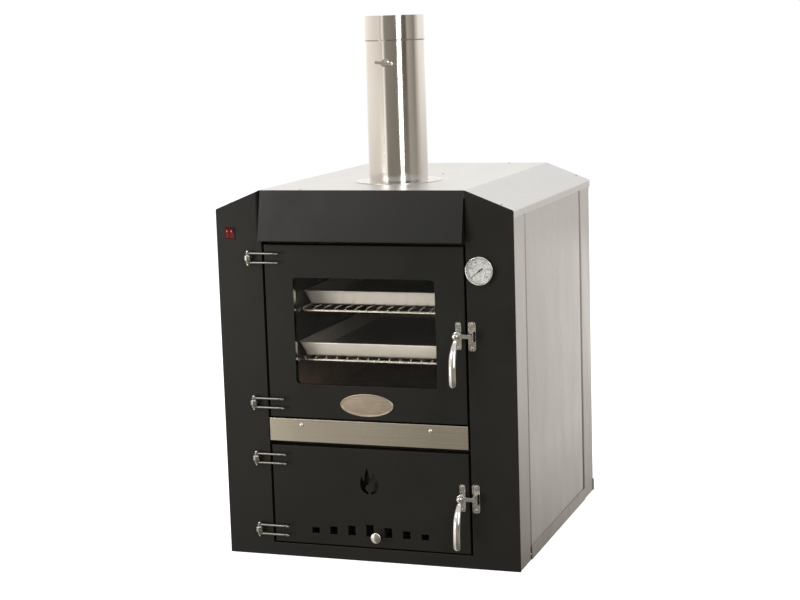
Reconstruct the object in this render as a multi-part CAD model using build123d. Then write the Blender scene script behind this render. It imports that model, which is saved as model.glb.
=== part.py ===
from build123d import *
from math import atan2, degrees
import os

os.makedirs("parts", exist_ok=True)

# Built-in wood-fired oven, in millimetres.
# The origin is the centre of the base on the floor. The front faces -Y, and the left side is at -X.

# Driving dimensions of the casing
WIDTH = 770
DEPTH = 792
HEIGHT = 932
SHOULDER_RUN = 120
SHOULDER_DROP = 48
LID_LIP = 19
FOLD = 4
SHEET = 1.5
FRONT_SHEET = 2.5
CASING_STEP = 2
BASE_RIM = 33
FRONT_STRIP = 108
REAR_STRIP = 110
FRONT_SEAM = 3
REAR_SEAM = 8
FRONT_POST_RETURN = 16
REAR_POST_RETURN = 40

# Driving dimensions of the two doors and what surrounds them
DOOR_HALF = 259
UPPER_DOOR = (361, 797)
LOWER_DOOR = (36.5, 288)
DOOR_FLANGE = 24
WINDOW_X = (-185, 184)
WINDOW_Z = (447, 715)
WINDOW_CORNER = 10
HOOD_BOTTOM = 807.5
HOOD_PROUD = 28
SILL_Z = (300, 358)
SILL_HALF = 260.5
SILL_PROUD = 4
SILL_SCREWS_X = (-175, 165)
SILL_SCREW_Z = 343
SLOPE_SCREW_X = 350
GASKET = 10
PLAQUE_SIZE = (139, 57)
PLAQUE_Z = 399

# Driving dimensions of the air holes in the lower door
AIR_HOLES = 7
AIR_PITCH = 48.4
AIR_WIDTH = 20.5
AIR_BOTTOM = 63
AIR_MIDDLE_HEIGHT = 31
AIR_STEP = 5
AIR_TRAVEL = 24
KNOB_X = 21
KNOB_Z = 69
KNOB_RADIUS = 14

# Driving dimensions of hinges and latches
PIN_X = -298.5
PIN_PROUD = 11
PIN_RADIUS = 2.5
PIN_CLEARANCE = 0.05
BARREL_RADIUS = 9.2
EYE_RADIUS = 5.5
EYE_HALF = 2.8
UPPER_HINGES = (397, 764)
LOWER_HINGES = (68.5, 254)
ARM_PITCH = 23
ARM_RADIUS = 2.6
ARM_END_X = -224.2
LATCH_X = 242.4
UPPER_LATCH_Z = 583
LOWER_LATCH_Z = 181
LEVER_DROP = 118.5
LEVER_PROUD = 40
KEEPER_X = 276.7

# Driving dimensions of the chamber, its racks and its trays
CHAMBER_HALF = 212
CHAMBER_Z = (378, 773)
CHAMBER_SHEET = 2
CHAMBER_BACK = 304
BULKHEAD_DEPTH = 34
BULKHEAD_SHEET = 3
TRAY_SIZE = (400, 600, 35)
TRAY_SLOPE = 15
TRAY_FRONT_DEPTH = 55
UPPER_TRAY_BACK = 40
LOWER_GRID_Z = 505
UPPER_GRID_Z = 631
RACK_DROP = 6.5
RACK_HALF = 203
WIRE_PITCH = 28
WIRES = 14

# Driving dimensions of the flue
FLUE_X = 13
FLUE_Y = -139
FLUE_RADIUS = 75
FLUE_RISE = 417
FLUE_SOCKET = 60
COLLAR_RADIUS = 112
DAMPER_Z = 1232
DAMPER_TILT = 7

# Driving dimensions of the firebox
JACKET_HALF = 262
JACKET_SHEET = 2
JACKET_TOP = 832
JACKET_BACK = 336
LOWER_OPENING_HALF = 235
LOWER_OPENING_Z = (48, 272)
BRICK = 30
BRICK_TOP = 312
DECK_Z = 80
GRATE_HALF = 121
GRATE_BACK = 110
GRATE_THICK = 12

# Driving dimensions of the controls
SWITCH_X = -349.4
SWITCH_Z = 824.5
SWITCH_SIZE = (28.5, 34)
THERMOMETER_X = 300
THERMOMETER_Z = 740
THERMOMETER_RADIUS = 35
FAN_Z = 565
LAMP_Y = -150
LAMP_Z = 725

# Small sizes that several pieces share
RACK_ROD = 3
WIRE_RADIUS = 1.5
GLASS_THICK = 4
PIVOT_RADIUS = 4
STEM_RADIUS = 3
SPINDLE_RADIUS = 4
BOSS_PROUD = 12
BOSS_RADIUS = 9.5
SOCKET_RADIUS = 75.25
FAN_SHAFT = 4
FAN_HOLE = 9
MOTOR_RADIUS = 40
LAMP_RADIUS = 19
GLAND_X = -300
GLAND_Z = 70
SWITCH_BODY = (25.4, 30)
ROCKER_TILT = 8
ROCKER_PIVOT = 1
NEEDLE_REST = 218
NEEDLE_PIVOT = 1.2
POST_LIP = 14
AIR_PLATE_X = (-175, 168)
AIR_PLATE_Z = (58, 100)

# Places worked out from the driving dimensions
half_width = WIDTH / 2
front = -DEPTH / 2
back = DEPTH / 2
side_face = half_width - CASING_STEP
shoulder_x = half_width - SHOULDER_RUN
shoulder_z = HEIGHT - SHOULDER_DROP
rear_face = back - CASING_STEP
post_top = shoulder_z - 2
front_back = front + FRONT_SHEET
front_strip_end = front + FRONT_STRIP
rear_strip_start = back - REAR_STRIP
bulkhead_front = front + BULKHEAD_DEPTH
bulkhead_back = bulkhead_front + BULKHEAD_SHEET
liner_back = front + 26
liner_front = liner_back - 2
pin_y = front - PIN_PROUD
tray_front = front + TRAY_FRONT_DEPTH
tray_back = tray_front + TRAY_SIZE[1]
flue_top = HEIGHT + FLUE_RISE
grate_z = DECK_Z + BRICK - GRATE_THICK - 6
shoulder_angle = degrees(atan2(SHOULDER_DROP, SHOULDER_RUN))
needle_hole = NEEDLE_PIVOT + PIN_CLEARANCE
air_plate_y = (front_back + 0.5, front_back + 2)
glass_back = front_back + 0.2 + GLASS_THICK


def save(node, *solids):
    """Write one node, as one solid or as a group of separate like solids."""
    shape = solids[0] if len(solids) == 1 else Compound(children=list(solids))
    export_step(shape, f"parts/{node}.step")


def block(x, y, z):
    """A box between three pairs of limits."""
    centre = ((x[0] + x[1]) / 2, (y[0] + y[1]) / 2, (z[0] + z[1]) / 2)
    return Pos(*centre) * Box(x[1] - x[0], y[1] - y[0], z[1] - z[0])


def symmetric(half):
    return (-half, half)


def rectangle(x, z, corner=0):
    """An upright rectangle as seen from the front, with rounded corners if a radius is given."""
    size = (x[1] - x[0], z[1] - z[0])
    shape = RectangleRounded(*size, corner) if corner else Rectangle(*size)
    return Pos((x[0] + x[1]) / 2, (z[0] + z[1]) / 2) * shape


def from_front(outline, y_front, y_back):
    """Extrude an outline drawn in X and Z from one depth to another."""
    return extrude(Plane.XZ.offset(-y_back) * outline, amount=y_back - y_front)


def from_side(outline, x_left, x_right):
    """Extrude an outline drawn in Y and Z from left to right."""
    return extrude(Plane.YZ.offset(x_left) * outline, amount=x_right - x_left)


def round_y(x, z, radius, y_front, y_back):
    """A round bar along Y."""
    return from_front(Pos(x, z) * Circle(radius), y_front, y_back)


def round_z(x, y, radius, z_low, z_high):
    """A round bar along Z."""
    return Pos(x, y, z_low) * extrude(Circle(radius), amount=z_high - z_low)


def round_x(y, z, radius, x_left, x_right):
    """A round bar along X."""
    return from_side(Pos(y, z) * Circle(radius), x_left, x_right)


def mirrored(solid):
    """The same piece on the other side of the oven."""
    return mirror(solid, Plane.YZ)


def roof_height(x):
    """The height of the top cover's outside at a distance from the middle."""
    past_shoulder = max(0, abs(x) - shoulder_x)
    return HEIGHT - past_shoulder * SHOULDER_DROP / SHOULDER_RUN


def gable(half, z_low, gap):
    """A wall outline that ends a gap below the sloping roof."""
    return make_face(
        Polyline(
            (-half, z_low),
            (half, z_low),
            (half, roof_height(half) - gap),
            (shoulder_x, HEIGHT - gap),
            (-shoulder_x, HEIGHT - gap),
            (-half, roof_height(half) - gap),
            close=True,
        )
    )


# Casing: base tray and corner posts


def base_tray():
    """A floor pan whose rim shows between the corner posts as the lowest band of the sides."""
    outside = block(symmetric(half_width), (front_back, back), (0, BASE_RIM))
    inside = block(
        symmetric(side_face),
        (front_back + CASING_STEP, rear_face),
        (CASING_STEP, BASE_RIM),
    )
    tray = outside - inside
    tray -= block(symmetric(half_width), (front_back, front_back + CASING_STEP), (20, BASE_RIM))
    for y in ((front_back, front_strip_end), (rear_strip_start, rear_face)):
        notch = block((side_face, half_width), y, (0, BASE_RIM))
        tray -= notch + mirrored(notch)
    return tray


def folded_sheet(points, radii):
    """A standing sheet that follows a line drawn in X and Y through its middle, with rounded folds."""
    line = FilletPolyline(*points, radius=radii)
    return Pos(0, 0, CASING_STEP) * extrude(trace(line, line_width=SHEET), amount=post_top - CASING_STEP)


def corner_post(y_corner, y_inner, width):
    """A folded strip at one right-hand corner: the return round the corner, its face and a short lip."""
    half_sheet = SHEET / 2 if y_inner > y_corner else -SHEET / 2
    x = side_face - SHEET / 2
    points = [
        (side_face - width, y_corner + half_sheet),
        (x, y_corner + half_sheet),
        (x, y_inner - half_sheet),
        (side_face - POST_LIP, y_inner - half_sheet),
    ]
    return folded_sheet(points, [2, 7])


def side_panel():
    """A flat panel between the posts, with both upright edges folded inwards."""
    x = side_face - SHEET / 2
    y = (front_strip_end + FRONT_SEAM + SHEET / 2, rear_strip_start - REAR_SEAM - SHEET / 2)
    points = [(side_face - POST_LIP, y[0]), (x, y[0]), (x, y[1]), (side_face - POST_LIP, y[1])]
    return folded_sheet(points, [2.5, 9])


def rear_panel():
    """A flat rear wall with two rows of air slots."""
    inner_half = side_face - REAR_POST_RETURN - 0.5
    wall = from_front(gable(inner_half, CASING_STEP, 4), rear_face - SHEET, rear_face)
    slot = RectangleRounded(52, 6, 2.9)
    for row_z in (120, 840):
        for column in range(8):
            x = (column - 3.5) * 72
            wall -= from_front(Pos(x, row_z) * slot, rear_face - SHEET, rear_face)
    wall -= round_y(GLAND_X, GLAND_Z, 6.2, rear_face - SHEET, rear_face)
    return wall


def roof_outline():
    """The outside of the top cover in cross-section, down to its side lips."""
    outline = gable(half_width, shoulder_z - LID_LIP, 0)
    return fillet(outline.vertices().sort_by(Axis.Y)[2:], FOLD)


def top_cover():
    """A sheet folded over both shoulders, with a lip on every side and a hole for the flue."""
    outline = roof_outline()
    inner = offset(outline, amount=-SHEET, kind=Kind.INTERSECTION)
    lip_z = shoulder_z - LID_LIP
    inner += rectangle(symmetric(half_width - SHEET), (lip_z - 1, lip_z + SHEET + 1))
    cover = from_front(outline - inner, front_back, back)
    lip_band = outline - Pos(0, -LID_LIP) * outline
    cover += from_front(lip_band, back - SHEET, back)
    cover += from_front(lip_band, front_back, front_back + SHEET)
    return cover - round_z(FLUE_X, FLUE_Y, FLUE_RADIUS + 2, HEIGHT - 10, HEIGHT + 10)


# Front: painted panels, hood, sill strip and plinth


def front_panel():
    """The right-hand painted panel, from the floor to the sloping shoulder."""
    outline = make_face(
        Polyline(
            (shoulder_x, 0),
            (half_width, 0),
            (half_width, shoulder_z),
            (shoulder_x, HEIGHT),
            close=True,
        )
    )
    eave = outline.vertices().sort_by(Axis.X)[-2:].sort_by(Axis.Y)[-1]
    outline = fillet(eave, FOLD)
    jamb = block((shoulder_x, shoulder_x + FRONT_SHEET), (front, bulkhead_front), (BASE_RIM, HOOD_BOTTOM))
    return from_front(outline, front, front_back) + jamb


def hood_panel():
    """A folded hood that leans out over the upper door."""
    side_gap = 2
    top_y = front + SHEET
    wedge = make_face(
        Polyline(
            (front, HEIGHT),
            (front - HOOD_PROUD, HOOD_BOTTOM),
            (top_y, HOOD_BOTTOM),
            (top_y, HEIGHT),
            close=True,
        )
    )
    shell = from_side(wedge, -shoulder_x + side_gap, shoulder_x - side_gap)
    thick = 2
    lean = HOOD_PROUD / (HEIGHT - HOOD_BOTTOM)
    hollow = make_face(
        Polyline(
            (front + thick - lean * thick, HEIGHT - thick),
            (front - HOOD_PROUD + thick + lean * thick, HOOD_BOTTOM + thick),
            (top_y + 1, HOOD_BOTTOM + thick),
            (top_y + 1, HEIGHT - thick),
            close=True,
        )
    )
    shell -= from_side(hollow, -shoulder_x + side_gap + thick, shoulder_x - side_gap - thick)
    nose = shell.edges().filter_by(Axis.X).sort_by(Axis.Y)[0]
    return fillet(nose, 1.5)


def sill_strip():
    """A stainless channel screwed across the front between the doors."""
    y = (front - SILL_PROUD, bulkhead_front)
    face = block(symmetric(SILL_HALF), (y[0], y[0] + SHEET), SILL_Z)
    top = block(symmetric(SILL_HALF), y, (SILL_Z[1] - SHEET, SILL_Z[1]))
    bottom = block(symmetric(SILL_HALF), y, (SILL_Z[0], SILL_Z[0] + SHEET))
    strip = face + top + bottom
    nose = strip.edges().filter_by(Axis.X).group_by(Axis.Y)[0]
    return fillet(nose, 1)


def bottom_plinth():
    """A low painted kick strip under the lower door."""
    x = symmetric(shoulder_x - 0.5)
    face = block(x, (front, front_back), (0, BASE_RIM))
    ledge = block(x, (front, bulkhead_front), (BASE_RIM - SHEET, BASE_RIM))
    plinth = face + ledge
    nose = plinth.edges().filter_by(Axis.X).group_by(Axis.Y)[0].sort_by(Axis.Z)[-1]
    return fillet(nose, 1.2)


def front_bulkhead():
    """The inner front plate that both door gaskets close on."""
    wall = gable(side_face - SHEET - 0.5, CASING_STEP, 3)
    wall -= rectangle(symmetric(CHAMBER_HALF), CHAMBER_Z)
    wall -= rectangle(symmetric(LOWER_OPENING_HALF), LOWER_OPENING_Z)
    return from_front(wall, bulkhead_front, bulkhead_back)


# Cooking chamber with its racks and trays


def cooking_chamber():
    """A welded box, open to the front, with holes for the fan shaft and the lamp."""
    wall = CHAMBER_SHEET
    outside = block(
        symmetric(CHAMBER_HALF + wall),
        (bulkhead_back, CHAMBER_BACK + wall),
        (CHAMBER_Z[0] - wall, CHAMBER_Z[1] + wall),
    )
    inside = block(symmetric(CHAMBER_HALF), (bulkhead_back, CHAMBER_BACK), CHAMBER_Z)
    box = outside - inside
    box -= round_y(0, FAN_Z, FAN_HOLE, CHAMBER_BACK - 1, CHAMBER_BACK + wall + 1)
    return box - round_x(LAMP_Y, LAMP_Z, LAMP_RADIUS + 0.3, CHAMBER_HALF - 1, CHAMBER_HALF + wall + 1)


def rack_rail(grid_z):
    """One folded rail on the right-hand wall, with a lip under the rack."""
    bar_z = grid_z - RACK_DROP
    lip_top = bar_z - RACK_ROD - 0.3
    y = (bulkhead_back + 6, CHAMBER_BACK - 42)
    web = block((CHAMBER_HALF - SHEET, CHAMBER_HALF), y, (lip_top - SHEET, grid_z + 34))
    lip = block((CHAMBER_HALF - 18, CHAMBER_HALF), y, (lip_top - SHEET, lip_top))
    return web + lip


def wire(points, radius, bend):
    """A round wire along straight runs with bent corners."""
    path = FilletPolyline(*points, radius=bend)
    start = Plane(origin=path @ 0, z_dir=path % 0)
    return sweep(start * Circle(radius), path=path)


def rack(grid_z):
    """A wire shelf: a rod frame, two cross rods, and wires bent down over the frame at both ends."""
    bar_z = grid_z - RACK_DROP
    y_front = tray_front + 3
    y_back = tray_back - 3
    corner = 12
    frame = RectangleRounded(2 * RACK_HALF, y_back - y_front, corner)
    frame_path = Pos(0, (y_front + y_back) / 2, bar_z) * frame.wire()
    start = Plane(origin=frame_path @ 0, z_dir=frame_path % 0)
    shelf = sweep(start * Circle(RACK_ROD), path=frame_path)
    cross_z = grid_z - WIRE_RADIUS - RACK_ROD + 0.6
    for cross_y in (y_front + 200, y_front + 400):
        shelf += round_x(cross_y, cross_z, RACK_ROD, -RACK_HALF, RACK_HALF)
    for index in range(WIRES):
        x = (index - (WIRES - 1) / 2) * WIRE_PITCH
        points = [(x, y_front, bar_z), (x, y_front, grid_z), (x, y_back, grid_z), (x, y_back, bar_z)]
        shelf += wire(points, WIRE_RADIUS, 4)
    return shelf


def tray_body(inset, floor_z, rim_z):
    """A tapered block with rounded corners, narrower at its floor."""
    middle_y = (tray_front + tray_back) / 2
    low = RectangleRounded(
        TRAY_SIZE[0] - 2 * TRAY_SLOPE - 2 * inset,
        TRAY_SIZE[1] - 2 * TRAY_SLOPE - 2 * inset,
        12 - inset,
    )
    high = RectangleRounded(TRAY_SIZE[0] - 2 * inset, TRAY_SIZE[1] - 2 * inset, 20 - inset)
    return loft([Pos(0, middle_y, floor_z) * low, Pos(0, middle_y, rim_z) * high])


def tray(grid_z):
    """A pressed tray with sloping walls and a rolled rim, standing on a rack's wires."""
    floor_z = grid_z + WIRE_RADIUS + 0.3
    rim_z = floor_z + TRAY_SIZE[2]
    thick = 1.2
    rim_radius = 2.2
    pan = tray_body(0, floor_z, rim_z) - Pos(0, 0, thick) * tray_body(thick, floor_z, rim_z)
    rim = RectangleRounded(TRAY_SIZE[0] - 1, TRAY_SIZE[1] - 1, 19.5)
    rim_path = Pos(0, (tray_front + tray_back) / 2, rim_z - 0.4) * rim.wire()
    start = Plane(origin=rim_path @ 0, z_dir=rim_path % 0)
    return pan + sweep(start * Circle(rim_radius), path=rim_path)


# Firebox, smoke jacket and insulation


def smoke_jacket():
    """The shell that leads the smoke up round the chamber, as left, right, rear and top plates."""
    inner = JACKET_HALF - JACKET_SHEET
    y = (bulkhead_back, JACKET_BACK)
    right = block((inner, JACKET_HALF), y, (CASING_STEP, JACKET_TOP))
    left = mirrored(right)
    rear = block(symmetric(inner), (JACKET_BACK - JACKET_SHEET, JACKET_BACK), (CASING_STEP, JACKET_TOP))
    top = block(symmetric(inner), (y[0], JACKET_BACK - JACKET_SHEET), (JACKET_TOP - JACKET_SHEET, JACKET_TOP))
    top -= round_z(FLUE_X, FLUE_Y, FLUE_RADIUS - 1, JACKET_TOP - 5, JACKET_TOP + 5)
    right -= round_x(LAMP_Y, LAMP_Z, LAMP_RADIUS + 0.3, inner - 1, JACKET_HALF + 1)
    rear -= round_y(0, FAN_Z, FAN_HOLE, JACKET_BACK - 5, JACKET_BACK + 1)
    return left, right, rear, top


def firebox_deck():
    """A folded tray that carries the firebricks and holds the ash drawer in its middle channel."""
    inner = JACKET_HALF - JACKET_SHEET
    channel = 2
    web_top = grate_z
    y = (bulkhead_back, JACKET_BACK - JACKET_SHEET)
    deck = block(symmetric(inner), y, (DECK_Z, DECK_Z + channel))
    deck -= block(symmetric(GRATE_HALF - channel), (y[0], GRATE_BACK - channel), (DECK_Z, DECK_Z + channel))
    channel_floor_z = LOWER_OPENING_Z[0] - channel
    for side in (-1, 1):
        x = sorted((side * GRATE_HALF, side * (GRATE_HALF - channel)))
        deck += block(x, (y[0], GRATE_BACK), (channel_floor_z, web_top))
    deck += block(symmetric(GRATE_HALF), (GRATE_BACK - channel, GRATE_BACK), (channel_floor_z, web_top))
    channel_floor = (channel_floor_z, channel_floor_z + channel)
    return deck + block(symmetric(GRATE_HALF), (y[0], GRATE_BACK), channel_floor)


def firebricks():
    """Loose bricks on the deck and standing along the side and rear walls."""
    joint = 0.5
    inner = JACKET_HALF - JACKET_SHEET
    y_front = bulkhead_back + joint
    y_back = JACKET_BACK - JACKET_SHEET - joint
    floor_z = (DECK_Z + 2, DECK_Z + 2 + BRICK)
    wall_z = (floor_z[1], BRICK_TOP)
    count = 3
    length = (y_back - y_front) / count
    bricks = []
    for index in range(count):
        y = (y_front + index * length, y_front + (index + 1) * length - joint)
        floor_brick = block((GRATE_HALF + 1, inner - joint), y, floor_z)
        wall_brick = block((inner - joint - BRICK, inner - joint), y, wall_z)
        bricks += [floor_brick, mirrored(floor_brick), wall_brick, mirrored(wall_brick)]
    bricks.append(block(symmetric(GRATE_HALF), (GRATE_BACK + 2, y_back), floor_z))
    rear_half = inner - joint - BRICK - joint
    for x in ((-rear_half, -joint), (joint, rear_half)):
        bricks.append(block(x, (y_back - BRICK, y_back), wall_z))
    return bricks


def fire_grate():
    """A cast grate with slots between its bars."""
    y = (bulkhead_back + 8, GRATE_BACK)
    grate = block(symmetric(GRATE_HALF - 0.5), y, (grate_z, grate_z + GRATE_THICK))
    slots = 9
    pitch = 24
    for row_y in (y[0] + 125, y[1] - 125):
        for index in range(slots):
            x = (index - (slots - 1) / 2) * pitch
            slot = Pos(x, row_y, grate_z) * extrude(SlotOverall(200, 10, rotation=90), amount=GRATE_THICK)
            grate -= slot
    return grate


def ash_drawer():
    """A shallow pan with a folded pull on its front."""
    half = GRATE_HALF - 6
    z = (LOWER_OPENING_Z[0] + 0.5, DECK_Z - 6)
    y = (bulkhead_back + 16, GRATE_BACK - 8)
    thick = 1.5
    pan = block(symmetric(half), y, z)
    pan -= block(symmetric(half - thick), (y[0] + thick, y[1] - thick), (z[0] + thick, z[1]))
    pull = block(symmetric(35), (y[0] - 12, y[0]), (z[1] - 8, z[1] - 6))
    return pan + pull


def insulation_wool():
    """Wool slabs outside the smoke jacket: two sides, the rear and the top."""
    slab = 66
    gap = 1
    y = (bulkhead_back + gap, JACKET_BACK)
    z = (CASING_STEP + gap, JACKET_TOP)
    right = block((JACKET_HALF + gap, JACKET_HALF + slab), y, z)
    left = mirrored(right)
    right -= round_x(LAMP_Y, LAMP_Z, LAMP_RADIUS + 6, JACKET_HALF, JACKET_HALF + slab)
    rear = block(symmetric(JACKET_HALF), (JACKET_BACK + gap, JACKET_BACK + 30), z)
    rear -= round_y(0, FAN_Z, MOTOR_RADIUS + 6, JACKET_BACK, JACKET_BACK + 30)
    top = block(symmetric(JACKET_HALF), y, (JACKET_TOP + gap, JACKET_TOP + 50))
    top -= round_z(FLUE_X, FLUE_Y, FLUE_RADIUS + 6, JACKET_TOP, JACKET_TOP + 50)
    return left, right, rear, top


# Flue


def flue_pipe():
    """A stainless pipe with a widened socket at its mouth and two bosses for the damper spindle."""
    wall = 1
    socket_wall = 1
    socket_start = flue_top - FLUE_SOCKET
    profile = make_face(
        Polyline(
            (FLUE_RADIUS - wall, JACKET_TOP),
            (FLUE_RADIUS, JACKET_TOP),
            (FLUE_RADIUS, socket_start - 3),
            (SOCKET_RADIUS + socket_wall, socket_start),
            (SOCKET_RADIUS + socket_wall, flue_top),
            (SOCKET_RADIUS, flue_top),
            (SOCKET_RADIUS, socket_start),
            (FLUE_RADIUS - wall, socket_start - 3),
            close=True,
        )
    )
    pipe = Pos(FLUE_X, FLUE_Y, 0) * revolve(Plane.XZ * profile, axis=Axis.Z)
    boss_start = FLUE_Y - FLUE_RADIUS
    pipe += round_y(FLUE_X, DAMPER_Z, BOSS_RADIUS, boss_start - BOSS_PROUD, boss_start + wall)
    boss_end = FLUE_Y + FLUE_RADIUS
    pipe += round_y(FLUE_X, DAMPER_Z, BOSS_RADIUS, boss_end - wall, boss_end + BOSS_PROUD)
    bore = SPINDLE_RADIUS + PIN_CLEARANCE
    pipe -= round_y(FLUE_X, DAMPER_Z, bore, boss_start - BOSS_PROUD - 1, boss_end + BOSS_PROUD + 1)
    inside = FLUE_RADIUS - wall
    return pipe - round_z(FLUE_X, FLUE_Y, inside, DAMPER_Z - 20, DAMPER_Z + 20)


def flue_collar():
    """A flat ring that covers the hole in the top cover."""
    ring = Circle(COLLAR_RADIUS) - Circle(FLUE_RADIUS + 0.3)
    return Pos(FLUE_X, FLUE_Y, HEIGHT) * extrude(ring, amount=SHEET)


def damper_disc():
    """The butterfly plate, split by a sleeve that grips the spindle."""
    disc = extrude(Circle(FLUE_RADIUS - 3), amount=1.5 / 2, both=True)
    sleeve = Plane.XZ * extrude(Circle(SPINDLE_RADIUS + 2.5), amount=FLUE_RADIUS - 8, both=True)
    bore = Plane.XZ * extrude(Circle(SPINDLE_RADIUS), amount=FLUE_RADIUS, both=True)
    turned = Rot(0, DAMPER_TILT, 0) * (disc + sleeve - bore)
    return Pos(FLUE_X, FLUE_Y, DAMPER_Z) * turned


def damper_spindle():
    """A rod through both bosses, with a flat T handle in front and a collar behind."""
    boss_front = FLUE_Y - FLUE_RADIUS - BOSS_PROUD
    boss_rear = FLUE_Y + FLUE_RADIUS + BOSS_PROUD
    rod = round_y(FLUE_X, DAMPER_Z, SPINDLE_RADIUS, boss_front - 8, boss_rear + 6)
    stop = round_y(FLUE_X, DAMPER_Z, SPINDLE_RADIUS + 3, boss_rear + 0.5, boss_rear + 6)
    hub = round_y(FLUE_X, DAMPER_Z, SPINDLE_RADIUS + 3, boss_front - 8, boss_front - 0.5)
    wing = Pos(FLUE_X, DAMPER_Z) * Rot(0, 0, -DAMPER_TILT) * RectangleRounded(44, 8, 3.9)
    handle = from_front(wing, boss_front - 8, boss_front - 4)
    return rod + stop + hub + handle


# Hinges: a pinned head on a post, and two rod arms on every pin


def hinge_post(z):
    """A standing post whose rounded barrel takes the upright pin between two arms."""
    foot = round_y(PIN_X, z, 8.2, front - 2.5, front)
    neck = round_y(PIN_X, z, 6.5, pin_y, front)
    head_half = ARM_PITCH / 2 - EYE_HALF - 0.3
    head = round_z(PIN_X, pin_y, BARREL_RADIUS, z - head_half, z + head_half)
    head = fillet(head.edges().filter_by(GeomType.CIRCLE), 3.8)
    bore = round_z(PIN_X, pin_y, PIN_RADIUS + PIN_CLEARANCE, z - 20, z + 20)
    return foot + neck + head - bore


def hinge_pin(z):
    """A pin dropped in from above, with a domed head and a long plain end below."""
    top = z + ARM_PITCH / 2 + EYE_HALF + 0.3
    pin = round_z(PIN_X, pin_y, PIN_RADIUS, z - 19.5, top)
    pin = chamfer(pin.edges().filter_by(GeomType.CIRCLE).sort_by(Axis.Z)[0], 0.8)
    head = round_z(PIN_X, pin_y, 3.4, top, top + 4)
    return pin + fillet(head.edges().filter_by(GeomType.CIRCLE).sort_by(Axis.Z)[-1], 2.2)


def hinge_arm(z, side):
    """A rod from a small eye at one end of the barrel, bent back into the door's skin."""
    eye = round_z(PIN_X, pin_y, EYE_RADIUS, z - EYE_HALF, z + EYE_HALF)
    outer_end = eye.edges().filter_by(GeomType.CIRCLE).sort_by(Axis.Z)[-1 if side > 0 else 0]
    eye = fillet(outer_end, 1.2)
    points = [(PIN_X + 3.6, pin_y, z), (ARM_END_X, pin_y, z), (ARM_END_X, front, z)]
    rod = wire(points, ARM_RADIUS, 7)
    bore = round_z(PIN_X, pin_y, PIN_RADIUS + PIN_CLEARANCE, z - 5, z + 5)
    return eye + rod - bore


def hinge_arms(hinges):
    """Both rods of every hinge on one door."""
    return [hinge_arm(z + side * ARM_PITCH / 2, side) for z in hinges for side in (-1, 1)]


# Latches: a lever on a door plate, and a keeper on the right-hand panel


def latch_base(z):
    """The door plate with the lever's pivot standing out of it."""
    plate = RectangleRounded(14.5, 67, 3.5)
    base = from_front(Pos(LATCH_X, z - 2.5) * plate, front - 3, front)
    base += round_y(LATCH_X, z, 7, front - 11.2, front - 3)
    base += round_y(LATCH_X, z, PIVOT_RADIUS, front - 29.8, front - 11.2)
    return base + round_y(LATCH_X, z, 6.2, front - 31.8, front - 29.8)


def latch_lever(z):
    """A curved grip that hangs from its hub by a slanting neck, with the tongue beside the hub."""
    hub_y = (front - 29.5, front - 11.5)
    hub = round_y(LATCH_X, z, 8.5, *hub_y)
    tongue_end = KEEPER_X + 5
    tongue = from_front(rectangle((LATCH_X, tongue_end), (z - 4.8, z + 4.8), 4), front - 24, front - 18)
    middle_y = sum(hub_y) / 2
    stations = [
        (0.1, 0.31, 6.6, 5),
        (0.165, 0.49, 7.2, 5.1),
        (0.25, 0.67, 8, 5.1),
        (0.35, 0.81, 8.7, 5.2),
        (0.47, 0.91, 9, 5.3),
        (0.6, 0.975, 9, 5.4),
        (0.72, 0.995, 9, 5.4),
        (0.84, 1, 9.2, 5.3),
        (0.93, 0.993, 8.8, 5),
        (0.97, 0.988, 7.6, 4.4),
        (0.992, 0.984, 5, 3.2),
        (1, 0.982, 2.6, 1.8),
    ]
    sections = []
    for index, (along, out, half_wide, half_thick) in enumerate(stations):
        before = stations[max(index - 1, 0)]
        after = stations[min(index + 1, len(stations) - 1)]
        run = (after[0] - before[0]) * LEVER_DROP
        lean = (after[1] - before[1]) * LEVER_PROUD
        centre = (LATCH_X, middle_y - out * LEVER_PROUD, z - along * LEVER_DROP)
        plane = Plane(origin=centre, x_dir=(1, 0, 0), z_dir=(0, -lean, -run))
        sections.append(plane * Ellipse(half_wide, half_thick))
    neck_start = Vector(LATCH_X, middle_y, z - 3)
    neck_end = Vector(LATCH_X, middle_y - 0.31 * LEVER_PROUD, z - 0.1 * LEVER_DROP)
    neck_way = neck_end - neck_start
    neck = Plane(origin=neck_start, z_dir=neck_way) * extrude(Circle(4.8), amount=neck_way.length + 2)
    lever = hub + tongue + neck + loft(sections)
    lever -= round_y(LATCH_X, z, 6.7, front - 34, front - 29.5)
    return lever - round_y(LATCH_X, z, PIVOT_RADIUS + PIN_CLEARANCE, front - 30, front - 11)


def latch_keeper(z):
    """A plate on the panel whose catch reaches over and beside the tongue's end."""
    plate = from_front(Pos(KEEPER_X, z - 3) * RectangleRounded(19, 71, 6), front - 3.5, front)
    catch = make_face(
        Polyline(
            (KEEPER_X - 1.5, z + 7.3),
            (KEEPER_X + 6.5, z + 7.3),
            (KEEPER_X + 6.5, z - 14),
            (KEEPER_X + 9, z - 14),
            (KEEPER_X + 9, z + 12.3),
            (KEEPER_X - 1.5, z + 12.3),
            close=True,
        )
    )
    catch = from_front(fillet(catch.vertices().sort_by(Axis.Y)[-2:], 3), front - 23, front - 3.5)
    return plate + catch


# Doors


def door_skin(z):
    """A flat painted door face with its four edges folded back."""
    outside = block(symmetric(DOOR_HALF), (front, front + DOOR_FLANGE), z)
    outside = fillet(outside.edges().group_by(Axis.Y)[0], 1.5)
    flange = 2
    inside = block(
        symmetric(DOOR_HALF - flange),
        (front_back, front + DOOR_FLANGE),
        (z[0] + flange, z[1] - flange),
    )
    return outside - inside


def upper_door_skin():
    window = rectangle(WINDOW_X, WINDOW_Z, WINDOW_CORNER)
    return door_skin(UPPER_DOOR) - from_front(window, front - 1, front_back)


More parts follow.
